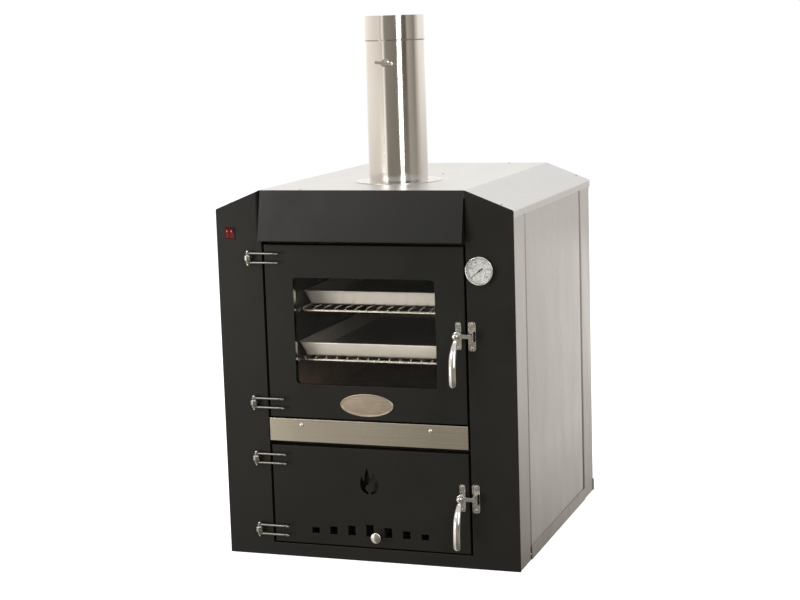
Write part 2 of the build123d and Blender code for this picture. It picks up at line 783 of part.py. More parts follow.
def upper_door_glass():
    """A ceramic glass pane clamped behind the window."""
    margin = 14
    pane_x = (WINDOW_X[0] - margin, WINDOW_X[1] + margin)
    pane_z = (WINDOW_Z[0] - margin, WINDOW_Z[1] + margin)
    return from_front(rectangle(pane_x, pane_z), glass_back - GLASS_THICK, glass_back)


def upper_door_liner():
    """The inner door sheet, with a collar round the window that clamps the glass."""
    flange = 2.2
    outer = rectangle(symmetric(DOOR_HALF - flange), (UPPER_DOOR[0] + flange, UPPER_DOOR[1] - flange))
    reveal = 4
    hole_x = (WINDOW_X[0] - reveal, WINDOW_X[1] + reveal)
    hole_z = (WINDOW_Z[0] - reveal, WINDOW_Z[1] + reveal)
    hole = rectangle(hole_x, hole_z, WINDOW_CORNER)
    around = offset(hole, amount=SHEET)
    clamp = offset(hole, amount=9)
    liner = from_front(outer - hole, liner_front, liner_back)
    liner += from_front(around - hole, glass_back, liner_front)
    return liner + from_front(clamp - hole, glass_back, glass_back + SHEET)


def gasket(z, half_outer):
    """A square-woven rope laid round the liner's edge."""
    rim = 3
    outer = rectangle(symmetric(half_outer), (z[0] + rim, z[1] - rim), 14)
    inner = rectangle(symmetric(half_outer - GASKET), (z[0] + rim + GASKET, z[1] - rim - GASKET), 4)
    return from_front(outer - inner, liner_back, bulkhead_front - 0.3)


def nameplate():
    """A bare oval plate with a raised rim."""
    half_wide = PLAQUE_SIZE[0] / 2
    half_high = PLAQUE_SIZE[1] / 2
    plate = from_front(Pos(0, PLAQUE_Z) * Ellipse(half_wide, half_high), front - 1.2, front)
    rim = Ellipse(half_wide, half_high) - Ellipse(half_wide - 3, half_high - 3)
    return plate + from_front(Pos(0, PLAQUE_Z) * rim, front - 2, front - 1.2)


def air_hole_tops():
    """Middle and top of every air hole: the tops rise towards the middle of the door."""
    holes = []
    for index in range(AIR_HOLES):
        step = index - (AIR_HOLES - 1) // 2
        x = step * AIR_PITCH - 3.5
        holes.append((x, AIR_BOTTOM + AIR_MIDDLE_HEIGHT - abs(step) * AIR_STEP))
    return holes


def air_holes(y_front, y_back):
    """Cutters for all the air holes, between two depths."""
    half = AIR_WIDTH / 2
    outlines = [rectangle((x - half, x + half), (AIR_BOTTOM, top)) for x, top in air_hole_tops()]
    return [from_front(outline, y_front, y_back) for outline in outlines]


def flame_outline():
    """A plain flame with three tips, in arcs, round an inner drop that a short neck holds."""
    outer = make_face(
        [
            ThreePointArc((0, 0), (-17, 6), (-24, 22)),
            ThreePointArc((-24, 22), (-24, 34), (-19, 46)),
            ThreePointArc((-19, 46), (-17, 38), (-13, 33)),
            ThreePointArc((-13, 33), (-11, 52), (-5, 70)),
            ThreePointArc((-5, 70), (-2, 54), (3, 40)),
            ThreePointArc((3, 40), (8, 46), (10, 54)),
            ThreePointArc((10, 54), (21, 38), (23.5, 22)),
            ThreePointArc((23.5, 22), (17, 6), (0, 0)),
        ]
    )
    drop = make_face(
        [
            ThreePointArc((0, 6), (-10, 12), (-9, 21)),
            ThreePointArc((-9, 21), (-2, 27), (3, 37)),
            ThreePointArc((3, 37), (12, 25), (11, 15)),
            ThreePointArc((11, 15), (7, 8), (0, 6)),
        ]
    )
    neck = rectangle((-3, 3), (-1, 8))
    return Pos(-0.7, 172.5) * (outer - drop - neck)


def lower_door_skin():
    """The firebox door's face, with air holes, the knob's slot, a flame cut-out and the slide's guides."""
    skin = door_skin(LOWER_DOOR)
    skin -= air_holes(front - 1, front_back)
    slot_end = KNOB_X + STEM_RADIUS + 0.6
    slot_start = KNOB_X - AIR_TRAVEL - STEM_RADIUS - 0.6
    slot = rectangle((slot_start, slot_end), (KNOB_Z - STEM_RADIUS - 0.5, KNOB_Z + STEM_RADIUS + 0.5))
    skin -= from_front(slot, front - 1, front_back)
    skin -= from_front(flame_outline(), front - 1, front_back)
    guide_x = (AIR_PLATE_X[0] - AIR_TRAVEL - 4, AIR_PLATE_X[1] + 6)
    for web_z, hook_z in (
        ((AIR_PLATE_Z[0] - 3, AIR_PLATE_Z[0] - 0.5), (AIR_PLATE_Z[0] - 3, AIR_PLATE_Z[0] + 3)),
        ((AIR_PLATE_Z[1] + 0.5, AIR_PLATE_Z[1] + 3), (AIR_PLATE_Z[1] - 3, AIR_PLATE_Z[1] + 3)),
    ):
        skin += block(guide_x, (front_back, air_plate_y[1] + 0.5), web_z)
        skin += block(guide_x, (air_plate_y[1] + 0.5, air_plate_y[1] + 2), hook_z)
    return skin


def lower_door_liner():
    """The heat shield that closes the door's back, pierced by the same row of air holes."""
    flange = 2.2
    outer = rectangle(symmetric(DOOR_HALF - flange), (LOWER_DOOR[0] + flange, LOWER_DOOR[1] - flange))
    shield = from_front(outer, liner_front, liner_back)
    return shield - air_holes(liner_front - 1, liner_back + 1)


def air_slide_plate():
    """The shutter that slides behind the door's face."""
    plate = from_front(rectangle(AIR_PLATE_X, AIR_PLATE_Z), *air_plate_y)
    return plate - air_holes(front, front + 20)


def air_slide_knob():
    """A turned knob on a stem that is fixed to the shutter."""
    stem = round_y(KNOB_X, KNOB_Z, STEM_RADIUS, front - 18, air_plate_y[0])
    profile = make_face(
        [
            Polyline((0, 0), (0, 12), (6, 12)),
            ThreePointArc((6, 12), (KNOB_RADIUS - 2.2, 9.8), (KNOB_RADIUS, 5)),
            Polyline((KNOB_RADIUS, 5), (KNOB_RADIUS - 1, 2), (7, 0), (0, 0)),
        ]
    )
    head = revolve(Plane.XY * profile, axis=Axis.Y)
    head = Rot(180, 0, 0) * head
    return stem + Pos(KNOB_X, front - 17, KNOB_Z) * head


# Controls


def thermometer_case():
    """A turned bezel with a dished back and a stub through the panel."""
    radius = THERMOMETER_RADIUS
    profile = make_face(
        Polyline(
            (needle_hole, 0),
            (radius - 4, 0),
            (radius - 3, 3),
            (radius - 1, 3),
            (radius, 6),
            (radius, 10),
            (radius - 1.5, 12),
            (radius - 3.5, 11),
            (radius - 3.5, 2),
            (needle_hole, 2),
            close=True,
        )
    )
    case = Rot(180, 0, 0) * revolve(Plane.XY * profile, axis=Axis.Y)
    case = Pos(THERMOMETER_X, front, THERMOMETER_Z) * case
    stub = Pos(THERMOMETER_X, THERMOMETER_Z) * (Circle(9) - Circle(needle_hole))
    return case + from_front(stub, front, front + 18)


def thermometer_face(y_front, y_back, hole):
    """A round plate that fits inside the bezel."""
    disc = Circle(THERMOMETER_RADIUS - 3.7)
    if hole:
        disc -= Circle(hole)
    return from_front(Pos(THERMOMETER_X, THERMOMETER_Z) * disc, y_front, y_back)


def thermometer_needle():
    """A pointer with a short tail and a pivot through the dial, pointing at the start of the scale."""
    pivot = round_y(THERMOMETER_X, THERMOMETER_Z, NEEDLE_PIVOT, front - 6, front - 1)
    hub = round_y(THERMOMETER_X, THERMOMETER_Z, 2.8, front - 6.2, front - 4.6)
    edge = [(-9, -1.7), (-9, 1.7), (0, 1.2), (25, 0.35), (25, -0.35), (0, -1.2)]
    pointer = make_face(Polyline(*edge, close=True))
    turned = Pos(THERMOMETER_X, THERMOMETER_Z) * Rot(0, 0, NEEDLE_REST) * pointer
    return pivot + hub + from_front(turned, front - 5.6, front - 4.8)


def switch_housing():
    """The double switch's frame and body, with the pin that both rockers turn on."""
    frame = rectangle(
        (SWITCH_X - SWITCH_SIZE[0] / 2, SWITCH_X + SWITCH_SIZE[0] / 2),
        (SWITCH_Z - SWITCH_SIZE[1] / 2, SWITCH_Z + SWITCH_SIZE[1] / 2),
        2,
    )
    window = Pos(SWITCH_X, SWITCH_Z) * Rectangle(23.4, 28)
    housing = from_front(frame - window, front - 2, front)
    body = Pos(SWITCH_X, SWITCH_Z) * Rectangle(*SWITCH_BODY)
    housing += from_front(body - window, front, front + 22)
    housing += from_front(body, front + 22, front + 24)
    pivot_half = SWITCH_BODY[0] / 2
    return housing + round_x(front + 1, SWITCH_Z, ROCKER_PIVOT, SWITCH_X - pivot_half, SWITCH_X + pivot_half)


def rocker(side):
    """One rocker: a shallow V face on a half-round body, tilted to its off position."""
    width = 11.2
    outline = make_face(
        [
            Polyline((-4.2, -12.4), (-2.4, 0), (-4.2, 12.4), (0.5, 12.4)),
            ThreePointArc((0.5, 12.4), (9, 0), (0.5, -12.4)),
            Line((0.5, -12.4), (-4.2, -12.4)),
        ]
    )
    x = SWITCH_X + side * 5.8
    body = from_side(outline, x - width / 2, x + width / 2)
    tilted = Rot(ROCKER_TILT, 0, 0) * body
    bored = tilted - round_x(0, 0, ROCKER_PIVOT + PIN_CLEARANCE, x - width, x + width)
    return Pos(0, front + 1, SWITCH_Z) * bored


# Lamp, fan and supply


def oven_lamp():
    """A lamp holder through the jacket and the chamber wall, and its domed lens."""
    holder = round_x(LAMP_Y, LAMP_Z, LAMP_RADIUS, CHAMBER_HALF + 0.5, JACKET_HALF + 40)
    holder += round_x(LAMP_Y, LAMP_Z, LAMP_RADIUS + 4, JACKET_HALF + 40, JACKET_HALF + 46)
    dome = make_face(
        [
            Polyline((0, 7), (0, 0), (LAMP_RADIUS - 1, 0)),
            ThreePointArc((LAMP_RADIUS - 1, 0), (13, 5), (5, 7)),
            Line((5, 7), (0, 7)),
        ]
    )
    lens = Rot(0, 0, 90) * revolve(Plane.XY * dome, axis=Axis.Y)
    return holder, Pos(CHAMBER_HALF + 0.5, LAMP_Y, LAMP_Z) * lens


def fan_motor():
    """A shaded-pole motor can on a square plate, bolted inside the rear panel."""
    plate_y = (rear_face - SHEET - 2, rear_face - SHEET)
    can = round_y(0, FAN_Z, MOTOR_RADIUS, JACKET_BACK + 14, plate_y[0])
    plate = from_front(Pos(0, FAN_Z) * RectangleRounded(104, 104, 10), *plate_y)
    return can + plate - round_y(0, FAN_Z, FAN_SHAFT + PIN_CLEARANCE, JACKET_BACK, JACKET_BACK + 44)


def fan_impeller():
    """A back plate with eight straight blades on a hub, and the long shaft to the motor."""
    shaft = round_y(0, FAN_Z, FAN_SHAFT, CHAMBER_BACK - 14, JACKET_BACK + 43)
    plate_y = CHAMBER_BACK - 12
    wheel = round_y(0, FAN_Z, 60, plate_y - 1.5, plate_y)
    wheel += round_y(0, FAN_Z, 14, plate_y - 18, plate_y)
    blades = 8
    for index in range(blades):
        blade = block((12, 58), (plate_y - 17, plate_y - 1), (-0.75, 0.75))
        wheel += Pos(0, 0, FAN_Z) * Rot(0, index * 360 / blades, 0) * blade
    return shaft + wheel


def cable_gland():
    """A hexagon gland with a domed cap, where the supply enters at the rear."""
    hexagon = RegularPolygon(12, 6)
    gland = from_front(Pos(GLAND_X, GLAND_Z) * hexagon, rear_face, rear_face + 6)
    gland += round_y(GLAND_X, GLAND_Z, 10, rear_face + 6, rear_face + 18)
    gland += round_y(GLAND_X, GLAND_Z, 6, rear_face - 14, rear_face)
    return gland - round_y(GLAND_X, GLAND_Z, 4, rear_face - 20, rear_face + 20)


def casing_screws():
    """Pan heads on the sill strip, the top cover and the feet of the corner posts."""
    sill_face = front - SILL_PROUD
    screws = [round_y(x, SILL_SCREW_Z, 4, sill_face - 2, sill_face) for x in SILL_SCREWS_X]
    for side in (-1, 1):
        for y in (front + 16, back - 16):
            screws.append(round_z(side * 160, y, 4, HEIGHT, HEIGHT + 2.4))
            slope = Rot(0, side * shoulder_angle, 0) * extrude(Circle(4), amount=2.4)
            screws.append(Pos(side * SLOPE_SCREW_X, y, roof_height(SLOPE_SCREW_X)) * slope)
    for x in (FLUE_X - 59, FLUE_X + 59):
        screws.append(round_z(x, FLUE_Y + 188, 4, HEIGHT, HEIGHT + 2.4))
    for y in (front_strip_end - 10, rear_strip_start + 8):
        right = round_x(y, 16, 3.5, side_face, side_face + 1.8)
        screws += [right, mirrored(right)]
    return screws


# Casing
save("base_tray", base_tray())
posts = [
    corner_post(front_back + 2, front_strip_end, FRONT_POST_RETURN),
    corner_post(rear_face, rear_strip_start, REAR_POST_RETURN),
]
save("corner_posts", *posts, *[mirrored(post) for post in posts])
right_side = side_panel()
save("right_side_panel", right_side)
save("left_side_panel", mirrored(right_side))
save("rear_panel", rear_panel())
save("top_cover", top_cover())
save("casing_screws", *casing_screws())

# Front
right_front = front_panel()
thermometer_hole = round_y(THERMOMETER_X, THERMOMETER_Z, 9.5, front - 1, front_back + 1)
save("front_right_panel", right_front - thermometer_hole)
switch_hole = from_front(Pos(SWITCH_X, SWITCH_Z) * Rectangle(*SWITCH_BODY), front - 1, front_back + 1)
save("front_left_panel", mirrored(right_front) - switch_hole)
save("hood_panel", hood_panel())
save("sill_strip", sill_strip())
save("bottom_plinth", bottom_plinth())
save("front_bulkhead", front_bulkhead())

# Chamber, firebox and insulation
save("cooking_chamber", cooking_chamber())
rails = [rack_rail(LOWER_GRID_Z), rack_rail(UPPER_GRID_Z)]
save("rack_rails", *rails, *[mirrored(rail) for rail in rails])
lower_rack = rack(LOWER_GRID_Z)
rack_rise = UPPER_GRID_Z - LOWER_GRID_Z
save("lower_rack", lower_rack)
save("upper_rack", Pos(0, 0, rack_rise) * lower_rack)
lower_tray = tray(LOWER_GRID_Z)
save("lower_tray", lower_tray)
save("upper_tray", Pos(0, UPPER_TRAY_BACK, rack_rise) * lower_tray)
save("smoke_jacket", *smoke_jacket())
save("firebox_deck", firebox_deck())
save("firebricks", *firebricks())
save("fire_grate", fire_grate())
save("ash_drawer", ash_drawer())
save("insulation_wool", *insulation_wool())

# Flue
save("flue_pipe", flue_pipe())
save("flue_collar", flue_collar())
save("damper_disc", damper_disc())
save("damper_spindle", damper_spindle())

# Doors, hinges and latches
hinge_heights = LOWER_HINGES + UPPER_HINGES
save("hinge_posts", *[hinge_post(z) for z in hinge_heights])
save("hinge_pins", *[hinge_pin(z) for z in hinge_heights])
save("latch_keepers", latch_keeper(UPPER_LATCH_Z), latch_keeper(LOWER_LATCH_Z))
save("upper_door_skin", upper_door_skin())
save("upper_door_glass", upper_door_glass())
save("upper_door_liner", upper_door_liner())
save("upper_door_gasket", gasket(UPPER_DOOR, 242))
save("nameplate", nameplate())
save("upper_hinge_arms", *hinge_arms(UPPER_HINGES))
save("upper_latch_base", latch_base(UPPER_LATCH_Z))
save("upper_latch_lever", latch_lever(UPPER_LATCH_Z))
save("lower_door_skin", lower_door_skin())
save("lower_door_liner", lower_door_liner())
save("lower_door_gasket", gasket(LOWER_DOOR, 248))
save("lower_hinge_arms", *hinge_arms(LOWER_HINGES))
save("lower_latch_base", latch_base(LOWER_LATCH_Z))
save("lower_latch_lever", latch_lever(LOWER_LATCH_Z))
save("air_slide_plate", air_slide_plate())
save("air_slide_knob", air_slide_knob())

# Controls, lamp, fan and supply
save("thermometer_case", thermometer_case())
save("thermometer_dial", thermometer_face(front - 3.2, front - 2.2, needle_hole))
save("thermometer_glass", thermometer_face(front - 9.5, front - 8, 0))
save("thermometer_needle", thermometer_needle())
save("switch_housing", switch_housing())
save("light_rocker", rocker(-1))
save("fan_rocker", rocker(1))
save("oven_lamp", *oven_lamp())
save("fan_motor", fan_motor())
save("fan_impeller", fan_impeller())
save("cable_gland", cable_gland())
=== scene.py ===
import math

import bmesh
import bpy
from bmesh.types import BMEdge, BMFace, BMVert
from mathutils import Matrix, Vector, noise


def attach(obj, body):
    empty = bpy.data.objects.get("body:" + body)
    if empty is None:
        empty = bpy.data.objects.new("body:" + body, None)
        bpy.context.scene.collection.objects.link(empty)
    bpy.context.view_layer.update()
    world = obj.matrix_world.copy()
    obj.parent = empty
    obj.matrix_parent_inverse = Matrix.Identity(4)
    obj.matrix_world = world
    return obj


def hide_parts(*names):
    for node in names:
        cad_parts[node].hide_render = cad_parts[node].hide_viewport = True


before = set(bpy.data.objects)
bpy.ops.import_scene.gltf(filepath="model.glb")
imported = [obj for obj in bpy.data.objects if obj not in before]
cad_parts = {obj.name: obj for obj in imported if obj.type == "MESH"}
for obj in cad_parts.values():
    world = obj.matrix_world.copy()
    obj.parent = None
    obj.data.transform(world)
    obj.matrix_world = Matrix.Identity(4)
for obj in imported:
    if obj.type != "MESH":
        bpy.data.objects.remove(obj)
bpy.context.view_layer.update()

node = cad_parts

# The studio: a white seamless floor and backdrop, with a room round it that is bright behind the oven
# and dark in front. Soft boxes stand right, left and low left of the camera and behind, and one hangs
# overhead. The camera stands right of the oven at the height of its flue.


def turned_by(degrees, axis):
    return Matrix.Rotation(math.radians(degrees), 4, axis)


def shader_node(tree, kind, inputs, **settings):
    """A new shader node. Each input gets a value, or a link from the output that is given for it."""
    made = tree.nodes.new(kind)
    for name, value in settings.items():
        setattr(made, name, value)
    for socket, given in inputs.items():
        if isinstance(given, bpy.types.NodeSocket):
            tree.links.new(given, made.inputs[socket])
        else:
            made.inputs[socket].default_value = given
    return made


def between(tree, value, start, end, low=0.0, high=1.0):
    """A value that runs from low to high while another runs from start to end."""
    limits = {"From Min": start, "From Max": end, "To Min": low, "To Max": high}
    return shader_node(tree, "ShaderNodeMapRange", {"Value": value, **limits}).outputs[0]


def blended(tree, factor, first, second):
    """A colour that runs from the first to the second while a factor runs from 0 to 1."""
    colours = {"Factor": factor, "A": first, "B": second}
    return shader_node(tree, "ShaderNodeMix", colours, data_type="RGBA").outputs["Result"]


def on_shader(finish, socket):
    """An input of the finish's own shader."""
    return finish.node_tree.nodes["Principled BSDF"].inputs[socket]


def new_finish(name, colour, metal=0.0, rough=0.5, **more):
    """A material whose shader has its own values set, with nothing linked to it yet."""
    finish = bpy.data.materials.new(name)
    finish.use_nodes = True
    values = {"Base Color": (*colour, 1), "Metallic": metal, "Roughness": rough, **more}
    for socket, value in values.items():
        on_shader(finish, socket.replace("_", " ")).default_value = value
    return finish


scene = bpy.context.scene
scene.view_settings.view_transform = "Standard"

camera = bpy.data.objects.new("camera", bpy.data.cameras.new("camera"))
camera.data.sensor_width = 36
camera.data.lens = 79.854
camera.data.clip_end = 60
scene.collection.objects.link(camera)
camera.matrix_world = (
    Matrix.Translation((1.5034, -4.4136, 1.3285))
    @ turned_by(19.3146, "Z")
    @ turned_by(90 - 8.8591, "X")
    @ turned_by(-1.8130, "Z")
)
scene.camera = camera

floor_shape = bmesh.new()
bmesh.ops.create_grid(floor_shape, x_segments=2, y_segments=2, size=9)
floor_mesh = bpy.data.meshes.new("floor")
floor_shape.to_mesh(floor_mesh)
floor_shape.free()
floor = bpy.data.objects.new("floor", floor_mesh)
scene.collection.objects.link(floor)
floor_paint = new_finish(
    "floor_paint",
    (0.93, 0.93, 0.93),
    rough=0.9,
    Specular_IOR_Level=0.1,
    Emission_Color=(1, 1, 1, 1),
    Emission_Strength=0.55,
)
floor_mesh.materials.append(floor_paint)
floor.visible_glossy = False
floor.visible_diffuse = False

# Brightness of the room by direction: 0 is straight behind the oven, 0.5 straight in front of it.
WALLS = [
    (0.000, (1.19, 1.165, 1.13)),
    (0.100, (1.28, 1.235, 1.15)),
    (0.330, (0.98, 0.91, 0.82)),
    (0.388, (0.90, 0.83, 0.75)),
    (0.400, (0.52, 0.47, 0.41)),
    (0.418, (1.30, 1.25, 1.16)),
    (0.428, (0.90, 0.85, 0.78)),
    (0.440, (0.34, 0.31, 0.27)),
    (0.560, (0.23, 0.21, 0.18)),
    (0.636, (0.13, 0.115, 0.085)),
    (0.668, (0.13, 0.12, 0.085)),
    (0.690, (0.52, 0.48, 0.42)),
    (0.770, (0.31, 0.28, 0.24)),
    (0.798, (0.72, 0.67, 0.62)),
    (0.845, (1.16, 1.12, 1.08)),
]
GROUND = [
    (0.000, (0.62, 0.59, 0.55)),
    (0.330, (0.90, 0.85, 0.77)),
    (0.424, (1.40, 1.33, 1.20)),
    (0.437, (0.32, 0.295, 0.245)),
    (0.470, (0.25, 0.23, 0.185)),
    (0.640, (0.32, 0.29, 0.24)),
    (0.760, (0.40, 0.37, 0.32)),
    (0.860, (0.62, 0.58, 0.54)),
]
CEILING = (0.74, 0.73, 0.715, 1)
BELOW = (0.08, 0.07, 0.06, 1)
WHITE = (1, 1, 1, 1)
room = bpy.data.worlds.new("room")
room.use_nodes = True
scene.world = room
sky = room.node_tree
sky.nodes.clear()
direction = shader_node(sky, "ShaderNodeTexCoord", {}).outputs["Generated"]
split = shader_node(sky, "ShaderNodeSeparateXYZ", {0: direction})
forward = shader_node(sky, "ShaderNodeMath", {0: split.outputs["Y"], 1: -1}, operation="MULTIPLY")
ahead = {0: split.outputs["X"], 1: forward.outputs[0]}
azimuth = shader_node(sky, "ShaderNodeMath", ahead, operation="ARCTAN2")
turn = between(sky, azimuth.outputs[0], -math.pi, math.pi)
around = []
for band in (GROUND, WALLS):
    ramp = shader_node(sky, "ShaderNodeValToRGB", {"Fac": turn})
    while len(ramp.color_ramp.elements) < len(band):
        ramp.color_ramp.elements.new(1)
    for stop, (position, colour) in zip(ramp.color_ramp.elements, band):
        stop.position = position
        stop.color = (*colour, 1)
    around.append(ramp.outputs["Color"])
up = split.outputs["Z"]
sides = blended(sky, between(sky, up, -0.11, -0.02), around[0], around[1])
roofed = blended(sky, between(sky, up, 0.12, 0.42), sides, CEILING)
dimmed = blended(sky, between(sky, up, -0.19, -0.34, 0, 0.50), roofed, BELOW)
lit_room = shader_node(sky, "ShaderNodeBackground", {"Color": dimmed})
backdrop = shader_node(sky, "ShaderNodeBackground", {"Color": WHITE})
seen = shader_node(sky, "ShaderNodeLightPath", {}).outputs["Is Camera Ray"]
either = {"Fac": seen, 1: lit_room.outputs[0], 2: backdrop.outputs[0]}
shown = shader_node(sky, "ShaderNodeMixShader", either)
shader_node(sky, "ShaderNodeOutputWorld", {"Surface": shown.outputs[0]})

LIT_POINT = (0, -0.14, 0.75)


def soft_box(name, heading_from_front, distance, height, width, tall, power, colour):
    """A flat rectangular light that faces the oven, at a heading measured from straight in front."""
    lamp = bpy.data.lights.new(name, "AREA")
    lamp.shape = "RECTANGLE"
    lamp.size = width
    lamp.size_y = tall
    lamp.energy = power
    lamp.color = colour
    box = bpy.data.objects.new(name, lamp)
    angle = math.radians(heading_from_front)
    place = Vector((distance * math.sin(angle), -distance * math.cos(angle) + LIT_POINT[1], height))
    aim = (Vector(LIT_POINT) - place).to_track_quat("-Z", "Y")
    box.matrix_world = Matrix.Translation(place) @ aim.to_matrix().to_4x4()
    box.visible_camera = False
    scene.collection.objects.link(box)


soft_box("soft_box_right", 35, 3.4, 1.75, 0.92, 2.2, 30, (1.0, 1.0, 0.99))
soft_box("soft_box_left", -34, 3.4, 2.3, 1.2, 1.2, 24, (1.0, 0.99, 0.96))
soft_box("soft_box_low", -40, 3.4, 0.32, 0.8, 0.6, 8, (1.0, 0.98, 0.93))
soft_box("soft_box_behind", 163, 1.75, 0.02, 0.5, 1.15, 1.25, (1.0, 0.99, 0.98))
soft_box("soft_box_overhead", 180, 0.6, 3.4, 3.4, 3.4, 52, (1.0, 0.99, 0.98))

# Floor tray, corner posts, side panels and rear panel: galvanised sheet, folded on a press brake and
# screwed together. The zinc has a faint spangle and long rolling marks. It is painted darker towards
# the floor as painted shade, and lighter along its edges as a painted highlight.

SPANGLE = 0.011


def on_surface(finish, scale=(1, 1, 1)):
    """The piece's own coordinates in metres, multiplied along each axis."""
    tree = finish.node_tree
    where = shader_node(tree, "ShaderNodeTexCoord", {}).outputs["Object"]
    return shader_node(tree, "ShaderNodeMapping", {"Vector": where, "Scale": scale}).outputs["Vector"]


def grain(finish, size, stretch=(1, 1, 1), detail=2.0):
    """Cloudy patches of about the given size in metres, drawn out along an axis by stretch."""
    where = on_surface(finish, [1 / (size * s) for s in stretch])
    cloud = {"Vector": where, "Scale": 1, "Detail": detail}
    return shader_node(finish.node_tree, "ShaderNodeTexNoise", cloud).outputs["Fac"]


def crystals(finish, size):
    """Flat grains of different brightness, as zinc has."""
    tree = finish.node_tree
    cells = shader_node(tree, "ShaderNodeTexVoronoi", {"Vector": on_surface(finish), "Scale": 1 / size})
    return shader_node(tree, "ShaderNodeSeparateColor", {"Color": cells.outputs["Color"]}).outputs["Red"]


def ranged(finish, pattern, low, high, start=0.3, end=0.7):
    """A pattern turned into a value from low to high."""
    return between(finish.node_tree, pattern, start, end, low, high)


def times(finish, one, other):
    """Two patterns multiplied."""
    product = shader_node(finish.node_tree, "ShaderNodeMath", {0: one, 1: other}, operation="MULTIPLY")
    return product.outputs[0]


def past(finish, low, high, axis="Z"):
    """0 before one place along an axis and 1 past another, in metres."""
    place = shader_node(finish.node_tree, "ShaderNodeSeparateXYZ", {0: on_surface(finish)})
    return ranged(finish, place.outputs[axis], 0, 1, low, high)


def tone(finish, pattern, dark, light, start=0.3, end=0.7):
    """Colours the surface from dark to light by a pattern."""
    tree = finish.node_tree
    shade = blended(tree, ranged(finish, pattern, 0, 1, start, end), (*dark, 1), (*light, 1))
    tree.links.new(shade, on_shader(finish, "Base Color"))


def laid_over(finish, cover, colour):
    """Lays a colour over what the surface has, as far as the cover goes from 0 to 1."""
    base = on_shader(finish, "Base Color")
    under = base.links[0].from_socket if base.links else base.default_value
    finish.node_tree.links.new(blended(finish.node_tree, cover, under, (*colour, 1)), base)


def patched(finish, pattern, share, colour, start=0.3, end=0.7):
    """Lays at most a share of a colour over the surface, by a pattern."""
    laid_over(finish, ranged(finish, pattern, 0, share, start, end), colour)


def roughened(finish, pattern, smooth, rough):
    """Lets the roughness go from smooth to rough by a pattern."""
    finish.node_tree.links.new(ranged(finish, pattern, smooth, rough), on_shader(finish, "Roughness"))


def relief(finish, pattern, height):
    """Raises the surface by a pattern, at most height in metres, on top of the relief it has."""
    normal = on_shader(finish, "Normal")
    bump = {"Distance": height, "Height": pattern}
    if normal.links:
        bump["Normal"] = normal.links[0].from_socket
    raised = shader_node(finish.node_tree, "ShaderNodeBump", bump)
    finish.node_tree.links.new(raised.outputs["Normal"], normal)


def eased_edges(finish, radius):
    """Rounds the look of sharp edges, and returns how near an edge each point is, from 0 to 1."""
    tree = finish.node_tree
    eased = shader_node(tree, "ShaderNodeBevel", {"Radius": radius}, samples=4).outputs["Normal"]
    flat = shader_node(tree, "ShaderNodeNewGeometry", {}).outputs["Normal"]
    same = shader_node(tree, "ShaderNodeVectorMath", {0: eased, 1: flat}, operation="DOT_PRODUCT")
    tree.links.new(eased, on_shader(finish, "Normal"))
    return ranged(finish, same.outputs["Value"], 1, 0, 0.75, 0.98)


def dress(finish, *names):
    """Gives CAD nodes a finish."""
    for name in names:
        for holder in node[name].material_slots:
            holder.material = finish


def galvanised(name, shade_height, shade_strength):
    """Zinc-coated sheet, painted darker towards the floor up to a height, as painted shade."""
    zinc = new_finish(name, (0.60, 0.59, 0.57), metal=1.0, rough=0.38)
    edges = eased_edges(zinc, 0.0012)
    tone(zinc, crystals(zinc, SPANGLE), (0.575, 0.565, 0.55), (0.60, 0.59, 0.575), 0, 1)
    patched(zinc, grain(zinc, 0.012, (1, 1, 60)), 0.10, (0.50, 0.49, 0.47), 0.5, 0.8)
    # Painted shade: the zinc is painted darker towards the floor, for the darker floor it mirrors there.
    laid_over(zinc, ranged(zinc, past(zinc, 0.0, shade_height), shade_strength, 0, 0, 1), (0.27, 0.25, 0.225))
    # Painted highlight: the edges are painted lighter, where the folds catch the light.
    patched(zinc, edges, 0.4, (0.74, 0.73, 0.71), 0, 1)
    roughened(zinc, grain(zinc, 0.05, (1, 1, 4), 4), 0.34, 0.42)
    relief(zinc, grain(zinc, 0.14), 0.0003)
    relief(zinc, grain(zinc, 0.0016, (1, 1, 30)), 0.000005)
    return zinc


dress(galvanised("zinc_sheet", 0.26, 0.7), "left_side_panel", "right_side_panel", "rear_panel")
dress(galvanised("zinc_posts", 0.42, 1.0), "base_tray", "corner_posts")

# Top cover: the same sheet, folded down over both shoulders. It is wiped clean before it is packed, so
# it has soft wipe marks along its length.

lid_zinc = new_finish("zinc_lid", (0.66, 0.65, 0.64), metal=1.0, rough=0.34)
lid_edge_sheen = eased_edges(lid_zinc, 0.0015)
tone(lid_zinc, crystals(lid_zinc, SPANGLE), (0.655, 0.65, 0.64), (0.68, 0.675, 0.665), 0, 1)
# Painted highlight: the edges are painted lighter, where the folds catch the light.
patched(lid_zinc, lid_edge_sheen, 0.4, (0.80, 0.79, 0.78), 0, 1)
roughened(lid_zinc, grain(lid_zinc, 0.06, (1, 5, 1), 4), 0.30, 0.36)
relief(lid_zinc, grain(lid_zinc, 0.2), 0.0002)
dress(lid_zinc, "top_cover")

# Casing screws: zinc-plated pan heads with a cross recess, driven through the cover's lips, the corner
# posts and the sill strip. The same head, smaller, holds the latch plates and the keepers.

FRONT = -0.396
SIDE = 0.383
TOP = 0.932


def only(kind, results):
    """The vertices, edges or faces among an operator's results."""
    return [g for g in results if isinstance(g, kind)]


def placed(shape, place):
    """The same shape, moved to its place."""
    bmesh.ops.transform(shape, matrix=place, verts=shape.verts)
    return shape


def turned(profile, steps=48):
    """A shape turned from points of radius and height about the Z axis, closed where the radius is 0."""
    shape = bmesh.new()
    points = [shape.verts.new((radius, 0, height)) for radius, height in profile]
    edges = [shape.edges.new(pair) for pair in zip(points, points[1:])]
    bmesh.ops.spin(
        shape,
        geom=points + edges,
        axis=(0, 0, 1),
        cent=(0, 0, 0),
        angle=2 * math.pi,
        steps=steps,
        use_merge=True,
    )
    bmesh.ops.remove_doubles(shape, verts=shape.verts, dist=1e-7)
    bmesh.ops.recalc_face_normals(shape, faces=shape.faces)
    return shape


